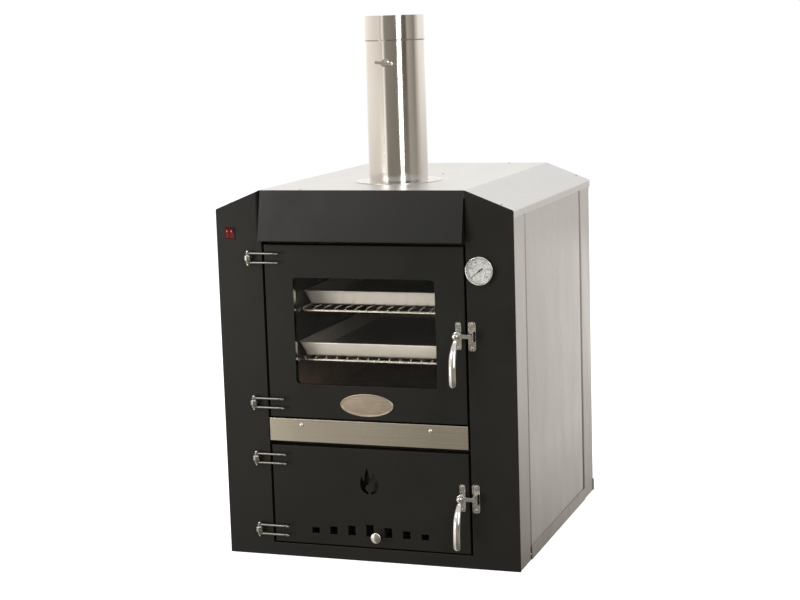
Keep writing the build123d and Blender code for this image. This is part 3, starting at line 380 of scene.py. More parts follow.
def copied(shape, places):
    """The same shape at several places, as one."""
    single = bpy.data.meshes.new("single")
    shape.to_mesh(single)
    shape.free()
    whole = bmesh.new()
    for place in places:
        count = len(whole.verts)
        whole.from_mesh(single)
        whole.verts.ensure_lookup_table()
        bmesh.ops.transform(whole, matrix=place, verts=whole.verts[count:])
    bpy.data.meshes.remove(single)
    return whole


def fitted(shape, name, finish, body, stands_for=(), sharp=35):
    """Makes a finished piece of a shape: smooth but for its sharp edges, riding on its body."""
    mesh = bpy.data.meshes.new(name)
    shape.to_mesh(mesh)
    shape.free()
    mesh.shade_smooth()
    mesh.set_sharp_from_angle(angle=math.radians(sharp))
    mesh.materials.append(finish)
    piece = bpy.data.objects.new(name, mesh)
    scene.collection.objects.link(piece)
    if stands_for:
        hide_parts(*stands_for)
    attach(piece, body)


def screw_head(radius, height):
    """A pan head standing on Z = 0, with a tapered cross recess."""
    rings = [(0.50, 1.0), (0.70, 0.90), (0.88, 0.66), (0.98, 0.34), (1.0, 0.12), (0.97, 0.0)]
    head = turned([(radius * r, height * h) for r, h in rings], 24)
    rim = [e for e in head.edges if e.is_boundary and e.verts[0].co.z > height * 0.95]
    made = bmesh.ops.create_circle(head, segments=12, radius=1, matrix=turned_by(15, "Z"))
    for vert in made["verts"]:
        inner = abs(abs(vert.co.x) - abs(vert.co.y)) < 0.01
        vert.co = vert.co.normalized() * radius * (0.17 if inner else 0.44)
        vert.co.z = height
    mouth = list({edge for vert in made["verts"] for edge in vert.link_edges})
    bmesh.ops.bridge_loops(head, edges=rim + mouth)
    sunk = bmesh.ops.extrude_edge_only(head, edges=mouth)["geom"]
    sunk_verts = only(BMVert, sunk)
    bmesh.ops.scale(head, vec=(0.55, 0.55, 1), verts=sunk_verts)
    bmesh.ops.translate(head, vec=(0, 0, -0.6 * height), verts=sunk_verts)
    bmesh.ops.contextual_create(head, geom=only(BMEdge, sunk))
    bmesh.ops.recalc_face_normals(head, faces=head.faces)
    return head


def screws(name, radius, height, places, finish, body, stands_for=()):
    """Pan heads of one size at several places, as one piece."""
    heads = copied(screw_head(radius, height), places)
    fitted(heads, name, finish, body, stands_for, 50)


facing_front = turned_by(90, "X")
facing_right = turned_by(90, "Y")
facing_left = turned_by(-90, "Y")


def on_front(x, z, proud=0.0):
    """A place on the front, so far proud of its panels, with Z pointing out of it."""
    return Matrix.Translation((x, FRONT - proud, z)) @ facing_front


zinc_plate = new_finish("zinc_plate", (0.62, 0.61, 0.58), metal=1.0, rough=0.26)
tone(zinc_plate, grain(zinc_plate, 0.002), (0.50, 0.49, 0.45), (0.68, 0.67, 0.64))
roughened(zinc_plate, grain(zinc_plate, 0.001), 0.2, 0.36)
relief(zinc_plate, grain(zinc_plate, 0.0008), 0.00002)

SHOULDER_X = 0.265
SHOULDER_SCREW_X = 0.350
SHOULDER_FALL = 0.048 / 0.120
slope = math.degrees(math.atan(SHOULDER_FALL))
shoulder_z = TOP - (SHOULDER_SCREW_X - SHOULDER_X) * SHOULDER_FALL
lid_screws = []
for side in (-1, 1):
    for y in (-0.380, 0.380):
        lid_screws.append(Matrix.Translation((side * 0.160, y, TOP)) @ turned_by(20 + 40 * side, "Z"))
        place = Matrix.Translation((side * SHOULDER_SCREW_X, y, shoulder_z)) @ turned_by(side * slope, "Y")
        lid_screws.append(place @ turned_by(75 + 30 * side, "Z"))
for x in (-0.046, 0.072):
    lid_screws.append(Matrix.Translation((x, 0.049, TOP)) @ turned_by(1000 * x, "Z"))
side_screws = []
for y in (-0.298, 0.294):
    for side, facing in ((-1, facing_left), (1, facing_right)):
        place = Matrix.Translation((side * SIDE, y, 0.016)) @ facing
        side_screws.append(place @ turned_by(90 * y * side, "Z"))
screws("lid_screw_heads", 0.004, 0.0024, lid_screws, zinc_plate, "oven", ["casing_screws"])
screws("side_screw_heads", 0.0035, 0.0018, side_screws, zinc_plate, "oven")
sill_plate = new_finish("bright_zinc", (0.90, 0.89, 0.86), metal=1.0, rough=0.2)
tone(sill_plate, grain(sill_plate, 0.001), (0.84, 0.83, 0.80), (0.94, 0.93, 0.91))
sill_screws = [on_front(x, 0.343, 0.004) @ turned_by(200 * x, "Z") for x in (-0.175, 0.165)]
screws("sill_screw_heads", 0.0052, 0.0032, sill_screws, sill_plate, "oven")

# Front panels, hood and plinth: sheet with a matt black stove paint, sprayed and baked. It has a fine
# orange peel, a few cloudy patches, and edges that are rubbed a little lighter. On the hood the lighter
# edges are also a painted highlight of its folds.


def stove_paint(name, dark, light, rough, edge=0.0011, edge_wear_and_sheen=(0.075, 0.072, 0.068)):
    """Matt black heat-proof paint, rubbed through to a lighter tone along its edges, which is also a
    painted highlight where that tone is light.
    """
    paint = new_finish(name, light, rough=rough, Specular_IOR_Level=0.3)
    edges = eased_edges(paint, edge)
    tone(paint, grain(paint, 0.22, detail=5), dark, light, 0.25, 0.75)
    patched(paint, grain(paint, 0.0022, detail=1), 0.5, (0.045, 0.043, 0.040), 0.66, 0.8)
    rubbed_and_lit_edges = times(paint, edges, ranged(paint, grain(paint, 0.02, detail=4), 0.15, 0.8))
    laid_over(paint, rubbed_and_lit_edges, edge_wear_and_sheen)
    roughened(paint, grain(paint, 0.08, detail=5), rough - 0.05, rough + 0.07)
    relief(paint, grain(paint, 0.30, detail=1), 0.0008)
    relief(paint, grain(paint, 0.0011, detail=1), 0.000035)
    return paint


black_paint = stove_paint("stove_paint", (0.0086, 0.0088, 0.0074), (0.0134, 0.0131, 0.0112), 0.38)
# Painted shade: the left panel is painted darker, with its shine dimmed, in a narrow band beside the
# hood, which stands proud of it and shades it.
near_hood = times(black_paint, past(black_paint, -0.2785, -0.2710, "X"), past(black_paint, 0.806, 0.808))
off_right_panel = ranged(black_paint, past(black_paint, 0.264, 0.268, "X"), 1, 0, 0, 1)
painted_hood_shade = times(black_paint, near_hood, off_right_panel)
patched(black_paint, painted_hood_shade, 0.9, (0.002, 0.002, 0.0018), 0, 1)
shine_in_painted_shade = ranged(black_paint, painted_hood_shade, 0.3, 0.05, 0, 1)
black_paint.node_tree.links.new(shine_in_painted_shade, on_shader(black_paint, "Specular IOR Level"))
dress(black_paint, "front_left_panel", "front_right_panel", "bottom_plinth")
# On the hood the light edge tone is partly rubbed paint and partly a painted highlight of its folds.
hood_paint = stove_paint(
    "hood_paint",
    (0.0078, 0.0079, 0.0066),
    (0.0120, 0.0117, 0.0100),
    rough=0.36,
    edge=0.0024,
    edge_wear_and_sheen=(0.17, 0.16, 0.15),
)
dress(hood_paint, "hood_panel")

# Sill strip: a stainless channel between the doors, brushed along its length before it is folded.

brushed = new_finish("brushed_stainless", (0.58, 0.54, 0.47), metal=1.0, rough=0.3)
eased_edges(brushed, 0.0008)
tone(brushed, grain(brushed, 0.0012, (160, 1, 1), 3), (0.55, 0.51, 0.43), (0.60, 0.56, 0.48))
patched(brushed, grain(brushed, 0.09, detail=3), 0.25, (0.46, 0.42, 0.35))
roughened(brushed, grain(brushed, 0.0009, (120, 1, 1), 3), 0.22, 0.28)
relief(brushed, grain(brushed, 0.0007, (200, 1, 1), 3), 0.000010)
relief(brushed, grain(brushed, 0.16, detail=1), 0.0006)
dress(brushed, "sill_strip")

# Front bulkhead and the air slide's shutter: plain sheet with a coat of dark heat paint, which dulls
# and browns round the fire.

dark_coat = new_finish("dark_heat_coat", (0.035, 0.033, 0.030), rough=0.66)
eased_edges(dark_coat, 0.0008)
tone(dark_coat, grain(dark_coat, 0.07, detail=6), (0.022, 0.021, 0.019), (0.050, 0.046, 0.040))
roughened(dark_coat, grain(dark_coat, 0.03, detail=5), 0.55, 0.8)
relief(dark_coat, grain(dark_coat, 0.0014, detail=2), 0.00006)
dress(dark_coat, "front_bulkhead", "air_slide_plate")

# Cooking chamber, smoke jacket, firebox deck and ash drawer: welded steel that heat has turned dark,
# straw brown and blue in patches. Soot settles low in the firebox.

hot_steel = new_finish("heat_darkened_steel", (0.10, 0.09, 0.08), metal=0.75, rough=0.5)
eased_edges(hot_steel, 0.001)
tone(hot_steel, grain(hot_steel, 0.13, detail=6), (0.020, 0.017, 0.014), (0.052, 0.044, 0.035))
patched(hot_steel, grain(hot_steel, 0.21, detail=3), 0.5, (0.036, 0.040, 0.052), 0.52, 0.75)
laid_over(hot_steel, ranged(hot_steel, past(hot_steel, 0.42, 0.52), 0.85, 0, 0, 1), (0.36, 0.25, 0.175))
# The steel is darker above 0.66 m, towards the top of the chamber.
patched(hot_steel, past(hot_steel, 0.66, 0.74), 0.6, (0.010, 0.009, 0.008), 0, 1)
low_down = ranged(hot_steel, past(hot_steel, 0.05, 0.34), 0.85, 0, 0, 1)
laid_over(hot_steel, times(hot_steel, low_down, grain(hot_steel, 0.05, detail=6)), (0.014, 0.013, 0.012))
roughened(hot_steel, grain(hot_steel, 0.04, detail=6), 0.40, 0.64)
relief(hot_steel, grain(hot_steel, 0.003, detail=4), 0.00008)
dress(hot_steel, "cooking_chamber", "smoke_jacket", "firebox_deck", "ash_drawer")

# Rack rails: folded stainless angles on both walls of the chamber, straw-coloured from the heat.

rail_steel = new_finish("rail_steel", (0.42, 0.38, 0.33), metal=1.0, rough=0.36)
eased_edges(rail_steel, 0.0008)
tone(rail_steel, grain(rail_steel, 0.001, (1, 140, 1), 3), (0.30, 0.27, 0.23), (0.48, 0.44, 0.38))
patched(rail_steel, grain(rail_steel, 0.08, detail=4), 0.6, (0.34, 0.25, 0.15), 0.5, 0.75)
roughened(rail_steel, grain(rail_steel, 0.03, detail=4), 0.28, 0.48)
dress(rail_steel, "rack_rails")

# Firebricks: pale fire-clay slabs laid dry on the deck and along the firebox walls. Their arrises are
# worn round, their faces are pitted, and soot darkens them.


def merged(name):
    """A CAD node's shape as one clean mesh."""
    shape = bmesh.new()
    shape.from_mesh(node[name].data)
    bmesh.ops.remove_doubles(shape, verts=shape.verts, dist=2e-6)
    return shape


def bevelled(shape, edges, width):
    """Rounds edges of a shape with two narrow faces each."""
    bmesh.ops.bevel(
        shape,
        geom=edges,
        offset=width,
        offset_type="OFFSET",
        segments=2,
        profile=0.5,
        affect="EDGES",
        material=-1,
        clamp_overlap=True,
    )


def softened(name, width):
    """A CAD node's shape with its sharp edges bevelled."""
    shape = merged(name)
    bmesh.ops.dissolve_limit(shape, angle_limit=math.radians(1), verts=shape.verts, edges=shape.edges)
    sharp = [e for e in shape.edges if len(e.link_faces) == 2 and e.calc_face_angle(0) > math.radians(30)]
    bevelled(shape, sharp, width)
    return shape


clay = new_finish("fire_clay", (0.52, 0.40, 0.27), rough=0.92)
tone(clay, grain(clay, 0.03, detail=8), (0.40, 0.29, 0.18), (0.60, 0.48, 0.34))
patched(clay, grain(clay, 0.004, detail=3), 0.7, (0.22, 0.15, 0.10), 0.62, 0.72)
patched(clay, grain(clay, 0.12, detail=7), 0.75, (0.06, 0.052, 0.046), 0.42, 0.66)
roughened(clay, grain(clay, 0.01), 0.85, 0.98)
relief(clay, grain(clay, 0.003, detail=6), 0.0009)
fitted(softened("firebricks", 0.0022), "firebrick_lining", clay, "oven", ["firebricks"])

# Fire grate: one grey-iron sand casting with two rows of slots, its edges rounded by the mould and its
# skin rusted and burnt.

iron = new_finish("cast_iron", (0.05, 0.045, 0.042), metal=0.5, rough=0.75)
tone(iron, grain(iron, 0.02, detail=7), (0.026, 0.024, 0.023), (0.085, 0.062, 0.046))
patched(iron, grain(iron, 0.05, detail=6), 0.6, (0.16, 0.085, 0.045), 0.55, 0.7)
roughened(iron, grain(iron, 0.01, detail=4), 0.6, 0.9)
relief(iron, grain(iron, 0.002, detail=5), 0.0004)
fitted(softened("fire_grate", 0.0012), "cast_grate", iron, "oven", ["fire_grate"])

# Insulation: mineral wool slabs, cut by hand and pushed in between the smoke jacket and the casing.
# Their skin is puffed and uneven, and sinks at most a few millimetres below the cut size.

wool = new_finish("mineral_wool", (0.50, 0.44, 0.26), rough=1.0, Specular_IOR_Level=0.1)
tone(wool, grain(wool, 0.03, detail=8), (0.36, 0.31, 0.17), (0.60, 0.54, 0.34))
patched(wool, grain(wool, 0.002, (1, 14, 1), 3), 0.5, (0.72, 0.67, 0.48), 0.5, 0.7)
relief(wool, grain(wool, 0.0022, (12, 1, 1), 4), 0.0012)
relief(wool, grain(wool, 0.0022, (1, 12, 1), 4), 0.0010)

cut_slabs = merged("insulation_wool")
slab_mesh = bpy.data.meshes.new("cut_slabs")
cut_slabs.to_mesh(slab_mesh)
cut_slabs.free()
slab = bpy.data.objects.new("cut_slabs", slab_mesh)
scene.collection.objects.link(slab)
fibres = slab.modifiers.new("fibres", "REMESH")
fibres.mode = "VOXEL"
fibres.voxel_size = 0.010
bpy.context.view_layer.update()
puffed = bmesh.new()
puffed.from_mesh(slab.evaluated_get(bpy.context.evaluated_depsgraph_get()).to_mesh())
bpy.data.objects.remove(slab)
puffed.normal_update()
COARSE = 24
FINE = 70
SINK = 0.0022
UNEVEN = 0.0014
for vert in puffed.verts:
    lump = noise.noise(vert.co * COARSE) + 0.5 * noise.noise(vert.co * FINE)
    vert.co -= vert.normal * (SINK + UNEVEN * lump)
fitted(puffed, "wool_slabs", wool, "oven", ["insulation_wool"], 180)

# Flue: a stainless pipe with a widened mouth, its collar plate and the butterfly damper. The pipe is
# polished round its girth, so it mirrors sharply from side to side and smears up and down.

pipe_steel = new_finish("polished_pipe", (0.70, 0.67, 0.63), metal=1.0, rough=0.1)
eased_edges(pipe_steel, 0.0005)
tone(pipe_steel, grain(pipe_steel, 0.05, (1, 1, 6), 4), (0.66, 0.63, 0.59), (0.74, 0.72, 0.69))
roughened(pipe_steel, grain(pipe_steel, 0.02, (1, 1, 5), 4), 0.07, 0.14)
relief(pipe_steel, grain(pipe_steel, 0.0008, (200, 200, 1), 2), 0.000012)
dress(pipe_steel, "flue_pipe", "damper_disc")
collar_steel = new_finish("collar_steel", (0.60, 0.58, 0.55), metal=1.0, rough=0.2)
eased_edges(collar_steel, 0.0006)
tone(collar_steel, grain(collar_steel, 0.04, detail=4), (0.57, 0.55, 0.52), (0.62, 0.60, 0.57))
roughened(collar_steel, grain(collar_steel, 0.02, detail=4), 0.16, 0.24)
dress(collar_steel, "flue_collar")

# Hinges: plated steel posts on the left panel, upright chromed pins, and two bent rods from every pin
# to the door, with rounded toes. The plating is slightly clouded by handling.

chrome = new_finish("chrome", (0.80, 0.79, 0.77), metal=1.0, rough=0.09)
eased_edges(chrome, 0.0006)
tone(chrome, grain(chrome, 0.03, detail=4), (0.74, 0.73, 0.71), (0.85, 0.84, 0.82))
roughened(chrome, grain(chrome, 0.015, detail=5), 0.06, 0.16)
relief(chrome, grain(chrome, 0.006, detail=2), 0.00002)
dress(chrome, "hinge_pins", "damper_spindle")
post_steel = new_finish("zinc_post", (0.44, 0.43, 0.41), metal=1.0, rough=0.2)
tone(post_steel, grain(post_steel, 0.004, detail=3), (0.34, 0.33, 0.31), (0.54, 0.53, 0.51))
roughened(post_steel, grain(post_steel, 0.003), 0.14, 0.28)
dress(post_steel, "hinge_posts")
rod_steel = new_finish("zinc_rod", (0.32, 0.31, 0.295), metal=1.0, rough=0.3)
tone(rod_steel, grain(rod_steel, 0.01, (6, 1, 1)), (0.30, 0.29, 0.275), (0.34, 0.33, 0.315))
roughened(rod_steel, grain(rod_steel, 0.01), 0.27, 0.34)
dress(rod_steel, "upper_hinge_arms", "lower_hinge_arms")
ROD_END_X = -0.2228
ROD_PROUD = 0.0139
ROD_SPREAD = 0.0115
toe_rings = [(0.0025, -0.001), (0.0025, 0.0056), (0.0023, 0.0065), (0.0016, 0.0072), (0.0, 0.0075)]
for body, hinges in (("upper_door", (0.397, 0.764)), ("lower_door", (0.0685, 0.254))):
    ends = [
        Matrix.Translation((ROD_END_X, FRONT - ROD_PROUD, z + side * ROD_SPREAD)) @ facing_right
        for z in hinges
        for side in (-1, 1)
    ]
    fitted(copied(turned(toe_rings, 20), ends), body + "_rod_toes", rod_steel, body)

# Latches: a plate and pivot on each door, a curved lever that hangs from the pivot, and a hooked keeper
# on the right panel. All are cast, polished and chromed, and screwed on.

cast_chrome = new_finish("cast_chrome", (0.78, 0.77, 0.74), metal=1.0, rough=0.16)
eased_edges(cast_chrome, 0.0007)
tone(cast_chrome, grain(cast_chrome, 0.003, detail=3), (0.42, 0.40, 0.36), (0.95, 0.94, 0.92))
roughened(cast_chrome, grain(cast_chrome, 0.006, detail=3), 0.10, 0.26)
relief(cast_chrome, grain(cast_chrome, 0.006, detail=2), 0.00045)
dress(chrome, "upper_latch_lever", "lower_latch_lever")
dress(cast_chrome, "upper_latch_base", "lower_latch_base", "latch_keepers")
LATCHES = (("upper_door", 0.583), ("lower_door", 0.181))
LATCH_X = 0.2424
KEEPER_X = 0.2767
PLATE_SCREW = (0.0036, 0.0018)
cap_rings = [
    (0.0062, 0.0),
    (0.0063, 0.0005),
    (0.0058, 0.0011),
    (0.0044, 0.0017),
    (0.0024, 0.0020),
    (0, 0.0021),
]
sleeve_rings = [
    (0.0080, 0.0118),
    (0.0097, 0.0118),
    (0.0102, 0.0124),
    (0.0102, 0.0160),
    (0.0098, 0.0166),
    (0.0094, 0.0170),
    (0.0098, 0.0174),
    (0.0100, 0.0180),
    (0.0096, 0.0190),
    (0.0080, 0.0196),
]
for body, z in LATCHES:
    cap = placed(turned(cap_rings, 32), on_front(LATCH_X, z, 0.0318))
    fitted(cap, body + "_latch_cap", chrome, body)
    sleeve = placed(turned(sleeve_rings, 36), on_front(LATCH_X, z))
    fitted(sleeve, body + "_latch_sleeve", chrome, body.replace("door", "latch"))
    on_base = [on_front(LATCH_X, z + up, 0.003) @ turned_by(900 * up, "Z") for up in (-0.031, 0.026)]
    screws(body + "_latch_screws", *PLATE_SCREW, on_base, zinc_plate, body)
on_keepers = [
    on_front(KEEPER_X, z + up, 0.0035) @ turned_by(700 * up, "Z")
    for body, z in LATCHES
    for up in (-0.0315, 0.0265)
]
screws("keeper_screws", *PLATE_SCREW, on_keepers, zinc_plate, "oven")

# Upper door: the painted skin, its inner liner of brushed stainless, and a pane of ceramic glass
# clamped between them.

door_paint = stove_paint("door_paint", (0.0082, 0.0085, 0.0071), (0.0126, 0.0125, 0.0107), 0.38)
dress(door_paint, "upper_door_skin", "lower_door_skin")

liner_steel = new_finish("liner_stainless", (0.50, 0.48, 0.45), metal=1.0, rough=0.16)
eased_edges(liner_steel, 0.0008)
tone(liner_steel, grain(liner_steel, 0.0012, (1, 1, 150), 3), (0.40, 0.38, 0.35), (0.58, 0.56, 0.53))
patched(liner_steel, grain(liner_steel, 0.12, detail=5), 0.5, (0.34, 0.27, 0.19), 0.5, 0.75)
roughened(liner_steel, grain(liner_steel, 0.001, (1, 1, 120), 3), 0.12, 0.22)
relief(liner_steel, grain(liner_steel, 0.0008, (1, 1, 200), 3), 0.000008)
dress(liner_steel, "upper_door_liner")

sooted = new_finish("liner_stainless_sooted", (0.05, 0.045, 0.04), metal=1.0, rough=0.5)
eased_edges(sooted, 0.0008)
tone(sooted, grain(sooted, 0.02, detail=5), (0.02, 0.018, 0.016), (0.08, 0.072, 0.062))
dress(sooted, "lower_door_liner")


def clear(name, tint, rough, ior):
    """Glass that light passes through on its way to what is behind it."""
    glass = new_finish(name, tint, rough=rough, Transmission_Weight=1.0, IOR=ior)
    tree = glass.node_tree
    passed = shader_node(tree, "ShaderNodeBsdfTransparent", {"Color": (*tint, 1)}).outputs[0]
    on_its_way = shader_node(tree, "ShaderNodeLightPath", {}).outputs["Is Shadow Ray"]
    ways = {"Fac": on_its_way, 1: tree.nodes["Principled BSDF"].outputs[0], 2: passed}
    either_way = shader_node(tree, "ShaderNodeMixShader", ways)
    tree.links.new(either_way.outputs[0], tree.nodes["Material Output"].inputs["Surface"])
    return glass


pane = clear("ceramic_glass", (0.96, 0.94, 0.90), 0.02, 1.16)
dress(pane, "upper_door_glass")

# Door gaskets: black and grey glass-fibre rope, braided, laid in a ring on each liner and flattened a
# little where the door presses it on the bulkhead.

rope = new_finish("braided_rope", (0.10, 0.10, 0.10), rough=0.95, Specular_IOR_Level=0.2)
where = shader_node(rope.node_tree, "ShaderNodeTexCoord", {}).outputs["Object"]
braid = []
for lean in (45, -45):
    tilt = {"Vector": where, "Rotation": (0, math.radians(lean), 0), "Scale": (95, 95, 95)}
    tilted = shader_node(rope.node_tree, "ShaderNodeMapping", tilt).outputs["Vector"]
    wave = {"Vector": tilted, "Scale": 1, "Distortion": 0.6, "Detail": 1}
    strands = shader_node(
        rope.node_tree, "ShaderNodeTexWave", wave, wave_type="BANDS", bands_direction="X"
    )
    braid.append(strands.outputs["Fac"])
woven = times(rope, braid[0], braid[1])
tone(rope, woven, (0.022, 0.021, 0.020), (0.17, 0.165, 0.155), 0.0, 0.8)
patched(rope, grain(rope, 0.02, detail=4), 0.5, (0.05, 0.045, 0.04), 0.5, 0.75)
relief(rope, woven, 0.0012)
relief(rope, grain(rope, 0.0007, detail=2), 0.0002)
ROPE_Y = -0.36615
ROPE_CORNER = 0.011


def rope_ring(half_wide, low, high):
    """A round rope along a rectangle with round corners, slightly flattened between door and bulkhead."""
    shape = bmesh.new()
    upright = Matrix.Translation((0, ROPE_Y, low)) @ turned_by(90, "Y")
    squeezed = Matrix.Diagonal((0.005, 0.00385, 1, 1))
    ring = bmesh.ops.create_circle(shape, segments=16, radius=1, matrix=upright @ squeezed)["verts"]
    edges = list({edge for vert in ring for edge in vert.link_edges})
    across = half_wide - ROPE_CORNER
    rise_by = high - low - 2 * ROPE_CORNER
    place = Vector((0, ROPE_Y, low))
    ways = [Vector((1, 0, 0)), Vector((0, 0, 1)), Vector((-1, 0, 0)), Vector((0, 0, -1))]
    runs = [across, rise_by, 2 * across, rise_by]
    for index, (way, run) in enumerate(zip(ways, runs)):
        grown = bmesh.ops.extrude_edge_only(shape, edges=edges)["geom"]
        verts = only(BMVert, grown)
        edges = only(BMEdge, grown)
        bmesh.ops.translate(shape, vec=way * run, verts=verts)
        centre = place + way * run + ways[(index + 1) % 4] * ROPE_CORNER
        spun = bmesh.ops.spin(
            shape,
            geom=verts + edges,
            cent=centre,
            axis=(0, -1, 0),
            angle=math.pi / 2,
            steps=6,
        )["geom_last"]
        edges = only(BMEdge, spun)
        place = centre + way * ROPE_CORNER
    grown = bmesh.ops.extrude_edge_only(shape, edges=edges)["geom"]
    bmesh.ops.translate(shape, vec=Vector((across, 0, 0)), verts=only(BMVert, grown))
    bmesh.ops.remove_doubles(shape, verts=shape.verts, dist=1e-5)
    bmesh.ops.recalc_face_normals(shape, faces=shape.faces)
    return shape


ROPES = (("upper_door", 0.237, 0.369, 0.789), ("lower_door", 0.243, 0.0445, 0.280))
for door, half_wide, low, high in ROPES:
    ring = rope_ring(half_wide, low, high)
    fitted(ring, door + "_rope", rope, door, [door + "_gasket"])

# Nameplate: a bare oval pressed from brass-toned sheet, with a rolled rim and a raised line inside it.
# It is fixed under the window.

plate_metal = new_finish("plate_metal", (0.56, 0.47, 0.38), metal=1.0, rough=0.34)
tone(plate_metal, grain(plate_metal, 0.0012, (60, 1, 1), 3), (0.46, 0.38, 0.30), (0.62, 0.54, 0.45))
patched(plate_metal, grain(plate_metal, 0.02, detail=4), 0.4, (0.36, 0.30, 0.24))
roughened(plate_metal, grain(plate_metal, 0.006, detail=4), 0.28, 0.46)
relief(plate_metal, grain(plate_metal, 0.0009, detail=3), 0.00005)

oval = bmesh.new()
outline = bmesh.ops.create_circle(oval, cap_ends=True, segments=96, radius=1)["verts"]
bmesh.ops.scale(oval, vec=(0.0695, 0.0285, 1), verts=outline)
bmesh.ops.recalc_face_normals(oval, faces=oval.faces)
lifted = bmesh.ops.extrude_face_region(oval, geom=list(oval.faces))["geom"]
field = only(BMFace, lifted)
bmesh.ops.translate(oval, vec=(0, 0, 0.0012), verts=only(BMVert, lifted))
pressed = [
    (0.0006, 0.0005),
    (0.0006, 0.0003),
    (0.0010, 0.0),
    (0.0006, -0.0003),
    (0.0006, -0.0006),
    (0.0016, 0.0),
    (0.0003, 0.0003),
    (0.0003, 0.0),
    (0.0003, -0.0003),
]
for thickness, depth in pressed:
    bmesh.ops.inset_individual(oval, faces=field, thickness=thickness, depth=depth, use_even_offset=True)
for share, rise_by in ((0.80, 0.00018), (0.74, 0.00014), (0.62, 0.00008)):
    crown = bmesh.ops.extrude_face_region(oval, geom=field)["geom"]
    bmesh.ops.delete(oval, geom=field, context="FACES_ONLY")
    field = only(BMFace, crown)
    crown_verts = only(BMVert, crown)
    bmesh.ops.scale(oval, vec=(share, share, 1), verts=crown_verts)
    bmesh.ops.translate(oval, vec=(0, 0, rise_by), verts=crown_verts)
bmesh.ops.poke(oval, faces=field)
bmesh.ops.recalc_face_normals(oval, faces=oval.faces)
placed(oval, on_front(0, 0.399))
fitted(oval, "bare_nameplate", plate_metal, "upper_door", ["nameplate"])

# Air slide's knob: turned from bar, with a flat face and a rounded edge, polished bright. It is fixed
# to the shutter behind the lower door through a slot.

knob_rings = [
    (0.0, -0.0170),
    (0.0030, -0.0170),
    (0.0030, 0.0),
    (0.0068, 0.0),
    (0.0120, 0.0010),
    (0.0130, 0.0016),
    (0.0133, 0.0026),
    (0.0134, 0.0088),
    (0.0130, 0.0098),
    (0.0121, 0.0104),
    (0.0108, 0.0108),
    (0.0085, 0.0112),
    (0.0055, 0.0115),
    (0.0, 0.0117),
]
knob = placed(turned(knob_rings), on_front(0.021, 0.069, 0.0175))
fitted(knob, "turned_air_knob", chrome, "air_slide", ["air_slide_knob"])

# Thermometer: a chromed bezel, a white enamelled dial with a printed scale in degrees Celsius, a black
# needle and a slightly domed glass. Its stub goes through the right panel.

GAUGE = on_front(0.300, 0.740)
case_rings = [
    (0.0, 0.0020),
    (0.0313, 0.0020),
    (0.0315, 0.0023),
    (0.0315, 0.0104),
    (0.0318, 0.0112),
    (0.0325, 0.0119),
    (0.0333, 0.0120),
    (0.0341, 0.0116),
    (0.0347, 0.0108),
    (0.0350, 0.0096),
    (0.0350, 0.0062),
    (0.0347, 0.0053),
    (0.0341, 0.0047),
    (0.0340, 0.0032),
    (0.0325, 0.0028),
    (0.0310, 0.0),
    (0.0090, 0.0),
    (0.0090, -0.0180),
    (0.0, -0.0180),
]
bezel = placed(turned(case_rings, 72), GAUGE)
fitted(bezel, "thermometer_bezel", chrome, "oven", ["thermometer_case"])

enamel = new_finish("dial_enamel", (0.45, 0.45, 0.435), rough=0.35)
tone(enamel, grain(enamel, 0.02, detail=3), (0.42, 0.42, 0.405), (0.48, 0.48, 0.465))
roughened(enamel, grain(enamel, 0.01), 0.3, 0.42)
face_rings = [(0.0, 0.0022), (0.0313, 0.0022), (0.0313, 0.0030), (0.0311, 0.0032), (0.0, 0.0032)]
face = placed(turned(face_rings, 72), GAUGE)
fitted(face, "thermometer_face", enamel, "oven", ["thermometer_dial"])

ink = new_finish("printed_ink", (0.02, 0.02, 0.02), rough=0.5)
tone(ink, grain(ink, 0.002), (0.014, 0.014, 0.014), (0.03, 0.03, 0.03))
# The scale starts at the lower left, where 0 is, and runs clockwise to 500.
START = 218
SWEEP = 262
PRINT_Z = 0.00323
PRINT_THICK = 0.00006
FIGURES_OUT = 0.0212
printed = bmesh.new()


def printed_bar(angle, out, length, width):
    """A printed bar on the dial, lying along a ray from the dial's centre."""
    along = turned_by(angle, "Z") @ Matrix.Translation((out, 0, PRINT_Z))
    size = Matrix.Diagonal((length, width, PRINT_THICK, 1))
    bmesh.ops.create_cube(printed, size=1, matrix=GAUGE @ along @ size)


for mark in range(51):
    length = 0.0018
    if mark % 10 == 0:
        length = 0.0038
    elif mark % 5 == 0:
        length = 0.0028
    width = 0.0012 if mark % 10 == 0 else 0.0007
    printed_bar(START - SWEEP * mark / 50, 0.0296 - length / 2, length, width)
for step in range(66):
    printed_bar(START - SWEEP * (step + 0.5) / 66, 0.0155, 0.0005, 0.00112)


def lettered(words, size, x, y):
    """Printed figures, flat on the dial."""
    curve = bpy.data.curves.new("figures", "FONT")
    curve.body = words
    curve.size = size
    curve.align_x = "CENTER"
    curve.align_y = "CENTER"
    curve.extrude = PRINT_THICK / 2
    curve.resolution_u = 3
    letters = bpy.data.objects.new("figures", curve)
    flat = bpy.data.meshes.new_from_object(letters)
    flat.transform(GAUGE @ Matrix.Translation((x, y, PRINT_Z)))
    printed.from_mesh(flat)
    bpy.data.objects.remove(letters)


for step in range(6):
    angle = math.radians(START - SWEEP * step / 5)
    lettered(str(100 * step), 0.0062, FIGURES_OUT * math.cos(angle), FIGURES_OUT * math.sin(angle))
lettered("°C", 0.0058, 0, -0.0125)
fitted(printed, "thermometer_scale", ink, "oven", sharp=30)
needle_paint = new_finish("needle_paint", (0.012, 0.012, 0.012), rough=0.4)
roughened(needle_paint, grain(needle_paint, 0.003), 0.32, 0.5)
dress(needle_paint, "thermometer_needle")

